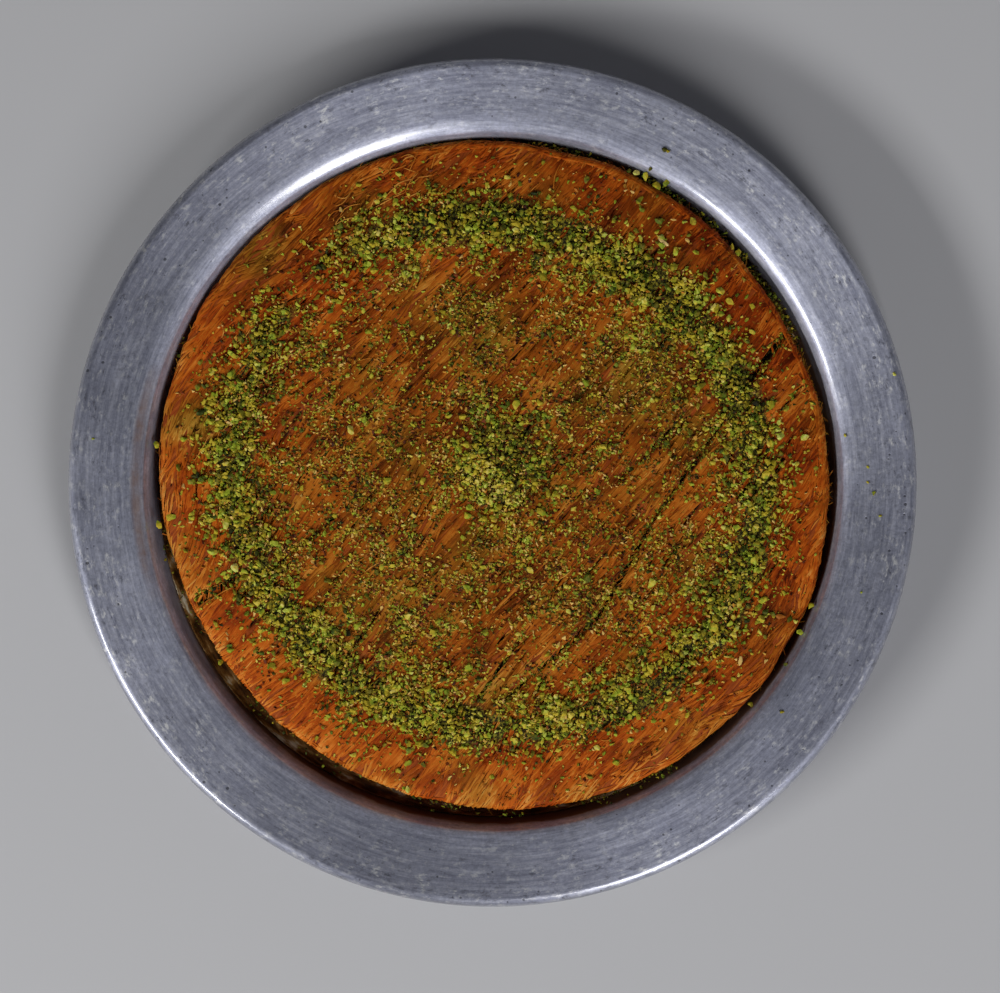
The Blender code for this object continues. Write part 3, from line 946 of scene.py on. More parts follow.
def addRods(name, places, normals, width, shade, olive, dust, node=None):
    # One rod along each path; width is half its breadth at each point, dust what clings to it
    corners, faces = rodTemplate(3, places.shape[1] - 1)
    ahead = np.gradient(places, axis=1)
    ahead /= np.linalg.norm(ahead, axis=2, keepdims=True)
    side = np.cross(ahead, normals)
    side /= np.linalg.norm(side, axis=2, keepdims=True)
    up = np.cross(side, ahead)
    station = np.rint(corners[:, 2]).astype(int)
    spots = places[:, station] + side[:, station] * (corners[:, 0] * width[:, station])[..., None]
    flat = strands["flatness"] * corners[:, 1]
    spots = spots + up[:, station] * (flat * width[:, station])[..., None]
    faces = copiedFaces(faces, len(corners), len(places))
    mesh = shadedMesh(name, spots.reshape(-1, 3), faces, np.repeat(shade, len(corners)))
    setAttribute(mesh, "olive", olive[:, station])
    setAttribute(mesh, "dust", dust[:, station])
    mesh.shade_smooth()
    mesh.set_sharp_from_angle(angle=70 * degree)
    addPiece(name, mesh, bakedStrands, node)


def makeBakedStrands():
    # Shredded dough baked in butter: red-brown to gold-brown, with a thin warm shine of syrup
    material, tree, shader = newMaterial("bakedStrands", {
        "Roughness": 0.55, "Specular IOR Level": 0.24, "Specular Tint": hexColour("ffc080")})
    place = addNode(tree, "TexCoord", output="Object")
    groups = addStrandNoise(tree, place, (13 * mm, 1.7 * mm, 4 * mm), Roughness=0.55, Distortion=0.3)
    patches = addNode(tree, "TexNoise", place, Scale=1 / (9 * mm), Detail=3.0, Roughness=0.65)
    shade = addNode(tree, "Attribute", attribute_name="shade", output="Fac")
    share = addNode(tree, "Math", patches, 0.95, shade, operation="MULTIPLY_ADD")
    share = addNode(tree, "Math", groups, 1.0, share, operation="MULTIPLY_ADD")
    share = addNode(tree, "Math", share, 0.975, operation="SUBTRACT")
    colour = addNode(tree, "ValToRGB", share, stops=[
        (0.0, "4c1102"), (0.3, "842e07"), (0.5, "a7480d"), (0.7, "bc5f17"), (0.86, "c9762b"),
        (1.0, "d08d42")])
    olive = addNode(tree, "Attribute", attribute_name="olive", output="Fac")
    tint = addNode(tree, "ValToRGB", share, stops=[(0.0, "2b1d04"), (0.5, "7d5b14"), (1.0, "b18b35")])
    colour = addNode(tree, "MixRGB", olive, colour, tint)
    # The finest dust of pistachio and toasted crumbs clings to the strands
    powder = addNode(tree, "TexNoise", place, Scale=1 / (0.8 * mm), Detail=2.0, Roughness=0.6)
    tone = addNode(tree, "TexNoise", place, Scale=1 / (1.3 * mm), Detail=2.0, Roughness=0.7)
    cover = addNode(tree, "Attribute", attribute_name="dust", output="Fac")
    level = addNode(tree, "Math", cover, 0.3, powder, operation="MULTIPLY_ADD")
    level = addNode(tree, "MapRange", level, 0.62, 0.74, 0.0, 0.7)
    dusty = addNode(tree, "ValToRGB", tone, stops=[
        (0.3, "2e1c08"), (0.45, "6f4f14"), (0.58, "a98424"), (0.72, "cdaa4c")])
    colour = addNode(tree, "MixRGB", level, colour, dusty)
    tree.links.new(colour, shader.inputs["Base Color"])
    return material


def laidOver(x, y, lift, spec, rng):
    # Strands on the pastry, raised by their lift, with ends that dip and taper
    share = np.linspace(0, 1, strands["segments"] + 1)[None, :]
    arch = np.minimum(1, 5 * np.minimum(share, 1 - share))
    height = strands["rest"] + lift[:, None] * arch - strands["dip"] * (1 - arch)
    places, normals = wrapOver(x, y, height)
    width = spec["thickness"] / 2 * rng.uniform(*strands["breadths"], (len(x), 1)) * (0.5 + 0.5 * arch)
    return places, normals, width


def layStrands(spec, rng):
    # The strands of many tufts: places, normals, half widths, shades and lifts
    tufts, middle = spec["tufts"], strands["segments"] // 2
    index = np.arange(tufts)
    least, most = spec["zone"]
    spread = np.sqrt(least ** 2 + (index + 0.5) / tufts * (most ** 2 - least ** 2))
    tuftX, tuftY = fromCentre(spread, index * goldenAngle)
    tuftX = tuftX + rng.normal(0, strands["tuftDrift"], tufts)
    tuftY = tuftY + rng.normal(0, strands["tuftDrift"], tufts)
    perTuft = rng.integers(spec["perTuft"][0], spec["perTuft"][1] + 1, tufts)
    tuftTurn = rng.normal(0, spec["turn"], tufts)
    tuftLength = rng.uniform(*spec["length"], tufts)
    tuftLift = spec["lift"] * rng.uniform(0, 1, tufts)
    tuftShade = rng.normal(0.47, 0.12, tufts) + sampleMap(strandToneAndShadeField + 0.1 * bareField, tuftX, tuftY)
    owner = np.repeat(index, perTuft)
    count = len(owner)
    rank = np.arange(count) - np.repeat(np.cumsum(perTuft) - perTuft, perTuft)
    aside = (rank - (perTuft[owner] - 1) / 2) * strands["spacing"] + rng.normal(0, strands["aside"], count)
    back = rng.normal(0, strands["back"], count)
    heading = strandDirection(tuftX, tuftY)[owner] + tuftTurn[owner]
    x = tuftX[owner] - np.sin(heading) * aside + np.cos(heading) * back
    y = tuftY[owner] + np.cos(heading) * aside + np.sin(heading) * back
    turn = tuftTurn[owner] + rng.normal(0, spec["scatter"], count)
    curl = rng.normal(0, spec["curl"], count)
    length = tuftLength[owner] * rng.uniform(0.7, 1.1, count)
    flat, keep = trimPaths(strandPaths(x, y, turn, curl, length), rng.normal(*strands["overhang"], count))
    x, y = partStrands(flat[..., 0], flat[..., 1])
    clear = (sampleMap(splitMap, x, y) > 2.45 * mm).sum(1) < 2     # none lies across a split
    x, y, owner = x[clear], y[clear], owner[keep][clear]
    lift = tuftLift[owner] + rng.uniform(-0.03, 0.07, len(owner)) * mm
    places, normals, width = laidOver(x, y, lift, spec, rng)
    radius, angle = polar(x[:, middle], y[:, middle])
    # Strands near the outline are lighter: partly a more golden baked edge, partly painted light on the
    # rounded edge
    atEdge = np.clip(1 - (outline(angle) - radius) / (5 * mm), 0, 1)
    shade = tuftShade[owner] + 0.3 * atEdge + rng.normal(0, 0.035, len(owner))
    return places, normals, width, np.clip(shade, 0, 0.85), lift


def layBorder(spec, rng):
    # Strands that run along the edge, most of them at the upper right
    count, middle = spec["count"], strands["segments"] // 2
    share = np.linspace(-0.5, 0.5, strands["segments"] + 1)[None, :]
    start = np.where(rng.uniform(0, 1, count) < 0.85, rng.uniform(-35, 125, count),
                     rng.uniform(-180, 180, count)) * degree
    length = rng.uniform(*spec["length"], count)
    angle = start[:, None] + (length / pastry["radius"])[:, None] * share
    inset = rng.uniform(*spec["inset"], (count, 1)) + rng.normal(0, spec["drift"], (count, 1)) * share
    x, y = fromCentre(outline(angle) - np.maximum(inset, 0), angle)
    lift = spec["lift"] * rng.uniform(0.2, 1, count)
    places, normals, width = laidOver(x, y, lift, spec, rng)
    shade = rng.normal(0.52, 0.1, count) + sampleMap(strandToneAndShadeField, x[:, middle], y[:, middle])
    return places, normals, width, np.clip(shade, 0, 0.85), lift


def makeStrands():
    laid = [lay(strands[kind], np.random.default_rng(strands[kind]["seed"]))
            for kind, lay in (("top", layStrands), ("edge", layStrands), ("border", layBorder))]
    places, normals, width, shade, lift = [np.concatenate(parts) for parts in zip(*laid)]
    x, y = places[..., 0], places[..., 1]
    dust = nutDensity(nuts["toasted"], x, y)
    inside = 1 - np.clip(polar(x, y)[0] / (68 * mm), 0, 1) ** 6
    olive = 0.3 * inside + 0.8 * np.maximum(0, sampleMap(patchMap, y, x) - 0.12)
    olive = np.clip(olive + sampleMap(strandOliveField, x, y), 0, 0.9)
    order = np.argsort(lift, kind="stable")
    for name, part in zip(("strandsUnder", "strandsMiddle", "strandsUpper"), np.array_split(order, 3)):
        addRods(name, places[part], normals[part], width[part], shade[part], olive[part], dust[part],
                "kunafa")
    print("strands laid:", len(places))
    return places


bakedStrands = makeBakedStrands()
strandPlaces = makeStrands()


# What lies on top needs the height of the strands below it

def surfaceMap():
    top = pastryTop(mapX, mapY) + core["nutShare"] * nutLayer(mapX, mapY)
    share = np.linspace(0, 1, 40)[None, :, None] * (strandPlaces.shape[1] - 1)
    index = np.minimum(share.astype(int), strandPlaces.shape[1] - 2)
    rows = np.arange(len(strandPlaces))[:, None]
    low = strandPlaces[rows, index[..., 0]]
    high = strandPlaces[rows, index[..., 0] + 1]
    dots = (low + (high - low) * (share - index)).reshape(-1, 3)
    column, row = np.clip(np.rint((dots[:, :2] + mapHalf) / mapStep).astype(int), 0, len(mapLine) - 1).T
    np.maximum.at(top, (row, column), dots[:, 2] + 0.15 * mm)
    return top


topMap = surfaceMap()


# Frayed ends in the gap between pastry and wall, and pale curls that lie loose on top

fray = {
    "count": 1600,
    "points": 6,
    "length": (1.2 * mm, 3.6 * mm),
    "outwards": (0.1, 0.8),         # share of the length that leads away from the pastry
    "height": (9.0 * mm, 15.4 * mm),
    "droop": 1.2 * mm,
    "halfWidth": (0.12 * mm, 0.22 * mm),
    "seed": 41,
}

curls = {
    # Groups: middle and reach of each in mm, and how many
    "groups": [(-23, 86, 7, 14), (-40, 75, 8, 7), (20, 88, 10, 3), (-75, 38, 8, 2), (62, 62, 10, 3),
               (84, -5, 6, 2), (30, -82, 14, 4), (-45, -72, 14, 3), (0, 10, 60, 5)],
    "turn": 22 * degree,
    "curl": 9 * degree,
    "length": (3 * mm, 8 * mm),
    "rise": (0.1 * mm, 0.6 * mm),
    "halfWidth": 0.15 * mm,
    "seed": 43,
}

# Pale straws that lie straight: both ends in mm
straws = [
    (-28.1, 83.4, -22.2, 86.0), (-24.7, 82.0, -21.0, 87.7), (-19.1, 90.8, -12.8, 93.4),
    (-17.6, 87.7, -15.7, 93.0), (-43.1, 75.5, -36.9, 78.9), (-34.0, 77.5, -27.5, 80.9),
    (-81.6, -30.0, -73.9, -25.6), (-81.0, -34.4, -73.4, -29.6), (-84.5, 6.0, -80.0, 14.0),
    (-76.5, 14.5, -72.0, 20.0), (-31.5, 79.8, -24.0, 82.4),
]


def wallRadius(height):
    lower = [(z, r) for r, z, slope in upperFace if r > tray["floorRadius"]]
    return np.interp(height, [z for z, r in lower], [r for z, r in lower])


def makeFray():
    rng = np.random.default_rng(fray["seed"])
    count, points = fray["count"], fray["points"]
    angle = np.where(rng.uniform(0, 1, count) < 0.7, rng.uniform(-10, 120, count),
                     rng.uniform(-180, 180, count)) * degree
    height = rng.uniform(*fray["height"], count)
    length = rng.uniform(*fray["length"], count)
    outwards = length * rng.uniform(*fray["outwards"], count)
    sideways = rng.choice([-1, 1], count) * np.sqrt(length ** 2 - outwards ** 2)
    share = np.linspace(0, 1, points)[None, :]
    taper = pastry["sideTaper"] * np.clip(1 - height / pastry["top"], 0, 1)
    radius = (outline(angle) - taper - 0.5 * mm)[:, None]
    radius = radius + outwards[:, None] * share ** rng.uniform(0.6, 1.4, (count, 1))
    turn = angle[:, None] + sideways[:, None] * share / pastry["radius"]
    x, y = fromCentre(radius, turn)
    z = height[:, None] + rng.normal(0, fray["droop"], (count, 1)) * share ** 2
    room = np.minimum(1, (wallRadius(z) - 0.35 * mm) / np.hypot(x, y))
    normals = np.stack([np.cos(turn), np.sin(turn), np.full_like(turn, 0.6)], -1)
    width = rng.uniform(*fray["halfWidth"], (count, 1)) * np.ones((1, points))
    shade = np.clip(rng.normal(0.34, 0.15, count), 0, 1)
    olive = np.repeat(rng.uniform(0.3, 1, (count, 1)), points, 1)
    addRods("frayedEdge", np.stack([x * room, y * room, z], -1), normals, width, shade, olive, 0.5 * olive)


def makeCurls():
    rng = np.random.default_rng(curls["seed"])
    middles = []
    for x, y, reach, number in curls["groups"]:
        turns, spreads = rng.uniform(0, 2 * math.pi, number), np.sqrt(rng.uniform(0, 1, number))
        middles += [(x + reach * math.cos(turn) * spread, y + reach * math.sin(turn) * spread)
                    for turn, spread in zip(turns, spreads)]
    x, y = np.array(middles).T * mm
    count = len(middles)
    turn = rng.normal(0, curls["turn"], count)
    curl = rng.normal(0, curls["curl"], count)
    length = rng.uniform(*curls["length"], count)
    flat, keep = trimPaths(strandPaths(x, y, turn, curl, length), np.full(count, -1.0 * mm))
    ends = np.array(straws).reshape(-1, 2, 2) * mm
    share = np.linspace(0, 1, strands["segments"] + 1)[None, :, None]
    straight = ends[:, :1] + (ends[:, 1:] - ends[:, :1]) * share
    straight = straight + rng.normal(0, 0.5 * mm, (len(ends), 1, 2)) * np.sin(math.pi * share)
    flat = np.concatenate([flat, straight])
    x, y = flat[..., 0], flat[..., 1]
    share = np.linspace(-1, 1, strands["segments"] + 1)[None, :]
    rise = rng.uniform(*curls["rise"], (len(flat), 1)) * (1 - share ** 2)
    places = np.stack([x, y, sampleMap(topMap, x, y) + 0.05 * mm + rise], -1)
    width = np.full((len(flat), 1), curls["halfWidth"]) * (1 - 0.4 * share ** 2)
    addRods("paleCurls", places, np.full_like(places, (0, 0, 1)), width,
            rng.uniform(0.75, 1.0, len(flat)), np.full_like(x, 0.3), np.zeros_like(x), "kunafa")


makeFray()
makeCurls()
print("frayed ends and curls made")


# Chopped pistachio, and the crumbs of toasted pastry among it

def scatterPlaces(kind, rng):
    found = np.zeros((0, 2))
    while len(found) < kind["count"]:
        x, y = rng.uniform(-mapHalf, mapHalf, (2, 60000))
        taken = rng.uniform(0, 1, 60000) < nutDensity(kind, x, y)
        found = np.concatenate([found, np.stack([x[taken], y[taken]], 1)])
    return found[:kind["count"]]


def chipShapes(corners, rng):
    # A few angular chips of unit length to copy, each the hull of some points
    shapes = []
    for number in range(7):
        bm = bmesh.new()
        for spot in range(corners):
            away = Vector(rng.normal(0, 1, 3)).normalized() * rng.uniform(0.42, 0.5)
            bm.verts.new(away)
        hull = bmesh.ops.convex_hull(bm, input=bm.verts)
        spare = {item for item in hull["geom_interior"] + hull["geom_unused"]
                 if isinstance(item, bmesh.types.BMVert)}
        bmesh.ops.delete(bm, geom=list(spare), context="VERTS")
        bmesh.ops.recalc_face_normals(bm, faces=bm.faces)
        bm.verts.index_update()
        shapes.append((np.array([vert.co for vert in bm.verts]),
                       [[vert.index for vert in face.verts] for face in bm.faces]))
        bm.free()
    return shapes


def turnMatrices(tilt, heading):
    # Turns about Z after a tip about X
    ct, st, ch, sh = np.cos(tilt), np.sin(tilt), np.cos(heading), np.sin(heading)
    zero, one = np.zeros_like(ct), np.ones_like(ct)
    tip = np.stack([one, zero, zero, zero, ct, -st, zero, st, ct], 1).reshape(-1, 3, 3)
    spin = np.stack([ch, -sh, zero, sh, ch, zero, zero, zero, one], 1).reshape(-1, 3, 3)
    return spin @ tip


def chipSizes(long, broad, thick, rng):
    # Length, breadth and thickness; broad and thick are ranges of their share of the length
    count = len(long)
    return np.stack([long, long * rng.uniform(*broad, count), long * rng.uniform(*thick, count)], 1)


def addChips(name, places, size, shade, look, rng, heading=None):
    # Copies of a few chips; look is how far they tip, their corners, material and node
    tilt, corners, material, node = look
    count = len(size)
    tilt = rng.normal(0, tilt, count)
    if heading is None:
        heading = rng.uniform(0, 2 * math.pi, count)
    turn = turnMatrices(tilt, heading)
    shapes = chipShapes(corners, rng)
    spots, faces, shades, used = [], [], [], 0
    for number, (shape, shapeFaces) in enumerate(shapes):
        mine = np.arange(count) % len(shapes) == number
        shaped = shape[None] * size[mine][:, None, :]
        moved = np.einsum("nij,nvj->nvi", turn[mine], shaped) + places[mine][:, None, :]
        for face in copiedFaces(shapeFaces, len(shape), len(moved)):
            faces.append([used + corner for corner in face])
        spots.append(moved.reshape(-1, 3))
        shades.append(np.repeat(shade[mine], len(shape)))
        used += len(moved) * len(shape)
    mesh = shadedMesh(name, np.concatenate(spots), faces, np.concatenate(shades))
    addPiece(name, mesh, material, node)
    print(name, "chips:", count, "faces:", len(mesh.polygons))


def makePistachio():
    # Raw pistachio, chopped: yellow-green inside, dark green and brown towards its skin, matt
    material, tree, shader = newMaterial("choppedPistachio", {"Roughness": 0.6, "Specular IOR Level": 0.15})
    place = addNode(tree, "TexCoord", output="Object")
    mottle = addNode(tree, "TexNoise", place, Scale=1 / (0.9 * mm), Detail=2.0, Roughness=0.6)
    shade = addNode(tree, "Attribute", attribute_name="shade", output="Fac")
    share = addNode(tree, "Math", mottle, 0.7, shade, operation="MULTIPLY_ADD")
    share = addNode(tree, "Math", share, 0.335, operation="SUBTRACT")
    ripe = addNode(tree, "ValToRGB", share, stops=[
        (0.0, "1c1602"), (0.2, "3e3e0c"), (0.42, "776b17"), (0.66, "af9b22"), (0.86, "c4af39"),
        (1.0, "d1c067")])
    fresh = addNode(tree, "ValToRGB", share, stops=[
        (0.0, "151802"), (0.2, "313f0c"), (0.42, "5a6b17"), (0.66, "899b22"), (0.86, "a6b13a"),
        (1.0, "c2c968")])
    kinds = addNode(tree, "TexNoise", place, Scale=1 / (2.6 * mm), Detail=2.0, Roughness=0.6)
    kinds = addNode(tree, "MapRange", kinds, 0.47, 0.59, 0.0, 0.9)
    tree.links.new(addNode(tree, "MixRGB", kinds, ripe, fresh), shader.inputs["Base Color"])
    return material


def makeToasted():
    # Crumbs of toasted pastry and nut skin, from dark red-brown through gold to cream
    material, tree, shader = newMaterial("toastedCrumbs", {"Roughness": 0.6, "Specular IOR Level": 0.15})
    shade = addNode(tree, "Attribute", attribute_name="shade", output="Fac")
    colour = addNode(tree, "ValToRGB", shade, stops=[
        (0.0, "3a1204"), (0.3, "7a3713"), (0.55, "b26f1e"), (0.8, "c49b3e"), (1.0, "e4c17c")])
    tree.links.new(colour, shader.inputs["Base Color"])
    return material


pistachio, toasted = makePistachio(), makeToasted()
ceiling = cadBounds[1][2] - 0.1 * mm       # no nut stands higher than the solids do


def scatterNuts():
    for name, kind in nuts.items():
        rng = np.random.default_rng(kind["seed"])
        x, y = scatterPlaces(kind, rng).T
        least, most = kind["size"]
        long = least + (most - least) * rng.uniform(0, 1, len(x)) ** 1.5
        size = chipSizes(long, (0.55, 0.9), (0.4, 0.75), rng)
        pile = (1 - core["nutShare"]) * nutLayer(x, y) + 0.5 * mm * sampleMap(ringField, x, y)
        height = sampleMap(topMap, x, y) + 0.15 * size[:, 2] + pile * rng.uniform(0, 1, len(x))
        height = np.minimum(height, ceiling - 0.5 * long)
        shade = rng.normal(*kind["shade"], len(x)) + sampleMap(nutToneField, x, y)
        shade = shade + 0.3 * sampleMap(clumpMap, y, x) + 0.15 * sampleMap(gritMap, x, y)
        # Nuts down in a split are painted darker: painted shade
        nutSplitShade = np.clip(sampleMap(splitMap, x, y) / (1.6 * mm) - 0.7, 0, 1)
        shade = np.clip(np.minimum(shade, 0.88) - 0.3 * nutSplitShade, 0, 1)
        piece, material = name + "Pistachio", pistachio
        if name == "toasted":
            piece, material = "toastedCrumbs", toasted
        look = (0.6, kind["corners"], material, "kunafa")
        addChips(piece, np.stack([x, y, height], 1), size, shade, look, rng)


scatterNuts()


# Single nuts that the photograph shows apart, as X, Y and long side in mm, and shade

singles = [
    (48.5, 94.0, 2.2, 0.2), (49.6, 93.6, 1.4, 0.55), (40.8, 87.7, 2.4, 0.95), (43.4, 86.8, 3.2, 0.72),
    (46.3, 84.1, 3.6, 0.55), (49.3, 84.9, 2.6, 0.45), (38.6, 88.3, 1.9, 0.3), (44.6, 88.6, 1.8, 0.35),
    (67.8, 66.7, 2.4, 0.74), (69.7, 65.1, 2.4, 0.70), (26.7, 85.7, 2.6, 0.36), (47.3, 74.1, 3.3, 0.38),
    (51.8, 65.4, 2.9, 0.72), (57.5, 65.1, 2.4, 0.66), (42.2, 67.1, 2.6, 0.3),
    (60.3, 58.6, 2.6, 0.4), (64.5, 54.1, 3.2, 0.8), (67.1, 51.3, 3.2, 0.62), (62.8, 49.6, 3.6, 0.94),
    (66.8, 46.5, 2.4, 0.84), (43.1, 50.4, 2.8, 0.76), (29.5, 62.6, 3.0, 0.86), (61.4, 36.3, 3.0, 0.78),
    (81.5, 13.1, 2.9, 0.9), (88.2, 12.8, 3.1, 0.9), (80.6, 14.8, 2.4, 0.9), (78.9, 21.9, 3.0, 0.62),
    (77.4, 2.2, 4.2, 0.72), (81.4, 8.2, 2.2, 0.35), (72.3, 9.0, 2.6, 0.7), (66.2, 33.6, 3.0, 0.5),
    (10.6, -24.7, 3.0, 0.82), (45.0, -28.1, 4.0, 0.84), (-40.2, 14.8, 3.2, 0.92), (27.0, -27.0, 3.4, 0.28),
    (17.7, -3.4, 2.8, 0.6), (-87.4, 12.3, 2.4, 0.66), (-95.3, 10.6, 2.6, 0.55), (-94.5, -12.0, 3.0, 0.66),
    (-84.9, -10.0, 2.4, 0.7), (-79.2, -19.6, 3.4, 0.84), (-86.8, -19.3, 1.9, 0.5), (-72.7, -24.1, 3.6, 0.97),
    (90.2, -34.9, 2.4, 0.6), (87.1, -42.5, 2.4, 0.7), (83.2, -51.5, 2.0, 0.3), (73.0, -62.8, 2.2, 0.4),
    (113.4, 30.6, 1.4, 0.95), (106.0, 4.4, 1.2, 0.75), (106.0, 0.1, 1.2, 0.7), (107.7, -3.0, 1.6, 0.5),
    (99.7, 13.4, 1.3, 0.85), (-71.0, -67.9, 1.0, 0.55), (-112.8, 12.3, 1.2, 0.8), (81.8, -64.8, 1.5, 0.45),
    (109.5, -9.4, 1.2, 0.7), (104.2, -31.0, 1.0, 0.6), (-74.2, -47.4, 2.6, 0.6), (-77.0, -51.0, 2.0, 0.5),
    (-62.4, -51.8, 2.8, 0.5), (-59.4, -53.2, 2.2, 0.45), (-24.0, -79.3, 2.6, 0.6), (-26.5, -81.5, 2.0, 0.55),
    (-7.0, -9.3, 3.0, 0.62), (-2.7, -10.3, 3.0, 0.6), (-6.4, -7.2, 2.6, 0.66), (1.6, -6.9, 2.8, 0.6),
    (6.5, -6.2, 2.6, 0.64), (-0.4, -5.8, 2.6, 0.58), (13.7, -8.3, 3.5, 0.6), (11.7, 6.9, 2.8, 0.66),
    (77.2, -36.5, 2.4, 0.24), (79.3, -37.4, 2.2, 0.3), (84.2, -38.8, 2.4, 0.26), (85.9, -39.3, 1.9, 0.92),
    (75.2, -35.4, 2.6, 0.5), (76.6, -33.2, 3.4, 0.62), (14.3, 5.8, 2.6, 0.6), (-7.6, 10.7, 2.8, 0.68),
    (-8.6, 18.6, 2.6, 0.6), (6.8, 22.1, 3.4, 0.66), (13.4, 22.5, 2.8, 0.7), (-19.9, 0.4, 2.4, 0.7),
    (15.7, -3.2, 2.6, 0.56),
]

# Flakes of nut skin and toasted pastry: X, Y and length in mm, heading in degrees, and shade
flakes = [
    (48.2, 67.9, 4.4, -37, 1.0), (63.3, 49.6, 3.8, 5, 0.95), (37.7, 82.6, 1.4, 10, 0.9),
    (39.6, 82.2, 1.5, -30, 0.9), (51.2, 74.3, 2.0, -10, 0.86), (55.1, 68.5, 2.0, -35, 0.86),
    (-69.6, -23.0, 4.2, 50, 0.36), (70.2, -50.4, 3.4, 80, 0.9), (29.9, -32.3, 2.0, 40, 0.8),
    (81.6, -38.0, 3.6, -15, 0.42), (58.0, -56.6, 2.5, 15, 0.82), (-74.7, 16.8, 2.8, -40, 0.95),
    (-73.3, 7.2, 1.8, 20, 0.25),
]

gapCrumbs = {
    "count": 1200,
    "groups": 80,
    "thick": (24, 122),               # most groups lie between these degrees
    "heaps": (-63.5, -62, -61),       # and these stand by themselves
    "spread": 2.2,
    "height": (9 * mm, 15 * mm),
    "reach": 3.0 * mm,
    "size": (0.6 * mm, 1.8 * mm),
    "shade": (0.27, 0.17),
    "seed": 51,
}


def restHeight(x, y):
    # What a nut lies on: the pastry, the rim, or wedged in the gap between them
    radius, angle = polar(x, y)
    inside = outline(angle) - radius
    onTray = trayTop(np.hypot(x, y))
    edge = borderHeight - 1.2 * mm
    return np.where(inside > 0.9 * mm, sampleMap(topMap, x, y), np.maximum(onTray, edge))


def makeSingles():
    rng = np.random.default_rng(52)
    x, y, long, shade = (np.array(singles) * (mm, mm, mm, 1)).T
    size = chipSizes(long, (0.65, 0.85), (0.5, 0.7), rng)
    height = np.minimum(restHeight(x, y) + 0.32 * size[:, 2], ceiling - 0.5 * long)
    addChips("singleNuts", np.stack([x, y, height], 1), size, shade, (0.25, 16, pistachio, None), rng)


def makeFlakes():
    rng = np.random.default_rng(53)
    x, y, long, heading, shade = (np.array(flakes) * (mm, mm, mm, degree, 1)).T
    size = np.stack([long, long * rng.uniform(0.4, 0.6, len(long)), long * 0.2], 1)
    places = np.stack([x, y, restHeight(x, y) + 0.5 * mm], 1)
    addChips("toastedFlakes", places, size, shade, (0.15, 18, toasted, "kunafa"), rng, heading)


def makeGapCrumbs():
    rng = np.random.default_rng(gapCrumbs["seed"])
    count, groups = gapCrumbs["count"], gapCrumbs["groups"]
    middles = np.where(rng.uniform(0, 1, groups) < 0.86, rng.uniform(*gapCrumbs["thick"], groups),
                       rng.uniform(125, 360, groups))
    middles = np.append(middles, gapCrumbs["heaps"])
    angle = (rng.choice(middles, count) + rng.normal(0, gapCrumbs["spread"], count)) * degree
    height = rng.uniform(*gapCrumbs["height"], count)
    inner = outline(angle) - 0.4 * mm
    x, y = fromCentre(inner + gapCrumbs["reach"] * rng.uniform(0, 1, count) ** 1.7, angle)
    room = np.minimum(1, (wallRadius(height) - 0.8 * mm) / np.hypot(x, y))
    size = chipSizes(rng.uniform(*gapCrumbs["size"], count), (0.6, 0.9), (0.5, 0.8), rng)
    shade = np.clip(rng.normal(*gapCrumbs["shade"], count), 0, 1)
    places = np.stack([x * room, y * room, height], 1)
    addChips("crumbsInGap", places, size, shade, (0.8, 9, pistachio, None), rng)


makeSingles()
makeFlakes()
makeGapCrumbs()
print("single nuts placed")


# Floor, lights and camera

studio = {
    "photoWidth": 282.4 * mm,       # what the photograph's 1000 pixels span at the rim
    "aim": (2.1 * mm, -3.95 * mm, 20 * mm),
    "lens": 190.0,
    "sensor": 36.0,
    "worldColour": "f4f6ff",
    "horizonGlow": 0.22,
    "zenithGlow": 0.02,
    "sideGlow": 0.07,
    "floorColour": "bcbcbf",
    "floorHalf": 1.5,
    # Azimuth, elevation, distance, width and height in metres, power and colour
    "lights": {
        "key": (216 * degree, 33 * degree, 1.9, 0.95, 0.36, 23.0, (1.0, 1.0, 0.98)),
        "fill": (295 * degree, 43 * degree, 2.0, 0.52, 1.3, 19.0, (1.0, 1.0, 1.0)),
    },
}


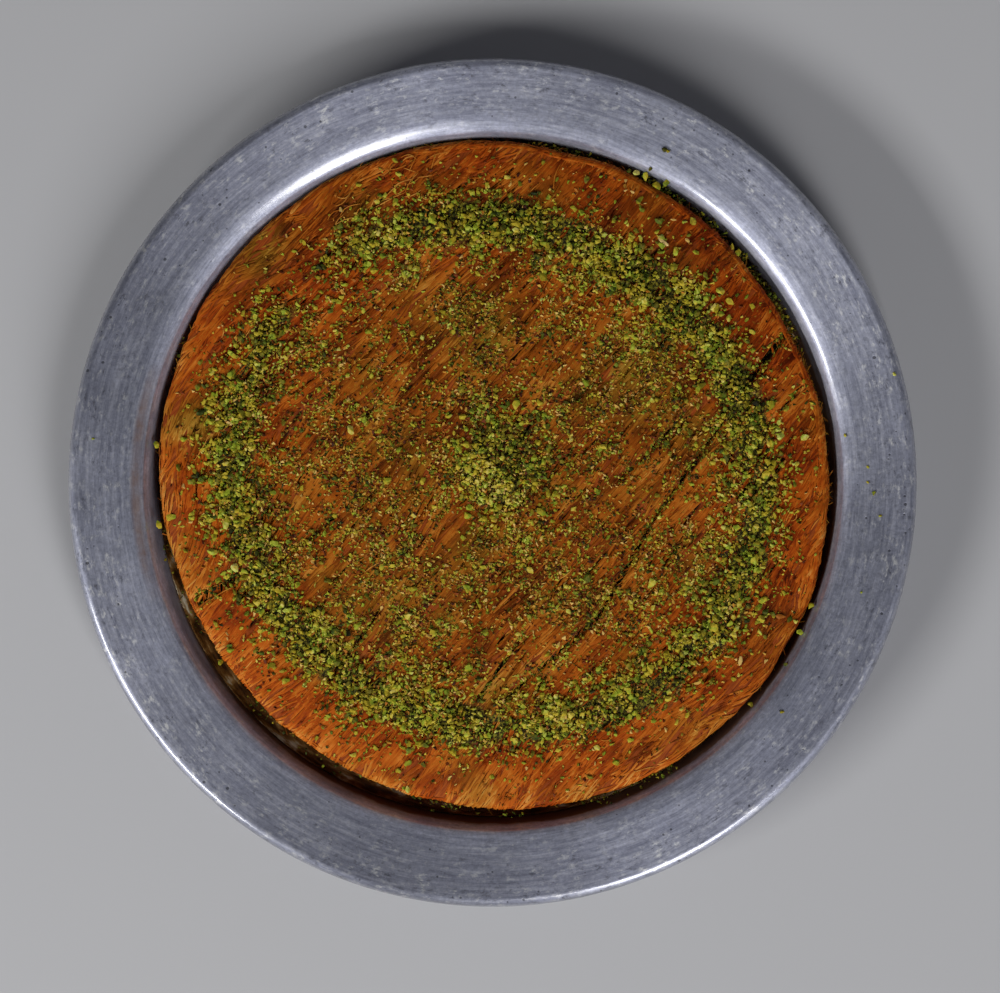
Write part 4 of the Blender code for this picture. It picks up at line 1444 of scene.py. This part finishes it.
def addLight(name, azimuth, elevation, distance, width, height, power, colour):
    data = bpy.data.lights.new(name, "AREA")
    data.shape = "RECTANGLE"
    data.size, data.size_y = width, height
    data.energy = power
    data.color = colour
    light = bpy.data.objects.new(name, data)
    bpy.context.scene.collection.objects.link(light)
    away = Vector((math.cos(azimuth) * math.cos(elevation), math.sin(azimuth) * math.cos(elevation),
                   math.sin(elevation))) * distance
    light.location = away
    light.rotation_euler = away.to_track_quat("Z", "Y").to_euler()


def makeStudio():
    scene = bpy.context.scene
    bm = bmesh.new()
    bmesh.ops.create_grid(bm, x_segments=2, y_segments=2, size=studio["floorHalf"])
    floor = bpy.data.objects.new("floor", meshFrom(bm, "floor"))
    scene.collection.objects.link(floor)
    # Matt pale paper
    paper, tree, shader = newMaterial("palePaper", {
        "Base Color": hexColour(studio["floorColour"]), "Roughness": 0.9})
    floor.data.materials.append(paper)

    # The studio is dark overhead, lighter round about, and lightest at the right
    world = bpy.data.worlds.new("studio")
    world.use_nodes = True
    tree = world.node_tree
    ahead = addNode(tree, "TexCoord", output="Generated")
    height = addNode(tree, "SeparateXYZ", ahead, output="Z")
    glow = addNode(tree, "MapRange", height, 0.0, 1.0, studio["horizonGlow"], studio["zenithGlow"])
    toSide = addNode(tree, "VectorMath", ahead, (0.95, 0.31, 0), operation="DOT_PRODUCT", output="Value")
    glow = addNode(tree, "Math", toSide, studio["sideGlow"], glow, operation="MULTIPLY_ADD")
    tree.links.new(glow, tree.nodes["Background"].inputs["Strength"])
    tree.nodes["Background"].inputs["Color"].default_value = hexColour(studio["worldColour"])
    scene.world = world
    scene.view_settings.view_transform = "Standard"
    for name, numbers in studio["lights"].items():
        addLight(name, *numbers)

    data = bpy.data.cameras.new("camera")
    data.lens, data.sensor_width = studio["lens"], studio["sensor"]
    data.clip_start, data.clip_end = 0.01, 10
    camera = bpy.data.objects.new("camera", data)
    scene.collection.objects.link(camera)
    x, y, z = studio["aim"]
    camera.location = (x, y, z + studio["photoWidth"] * studio["lens"] / studio["sensor"])
    scene.camera = camera


makeStudio()
print("studio set")
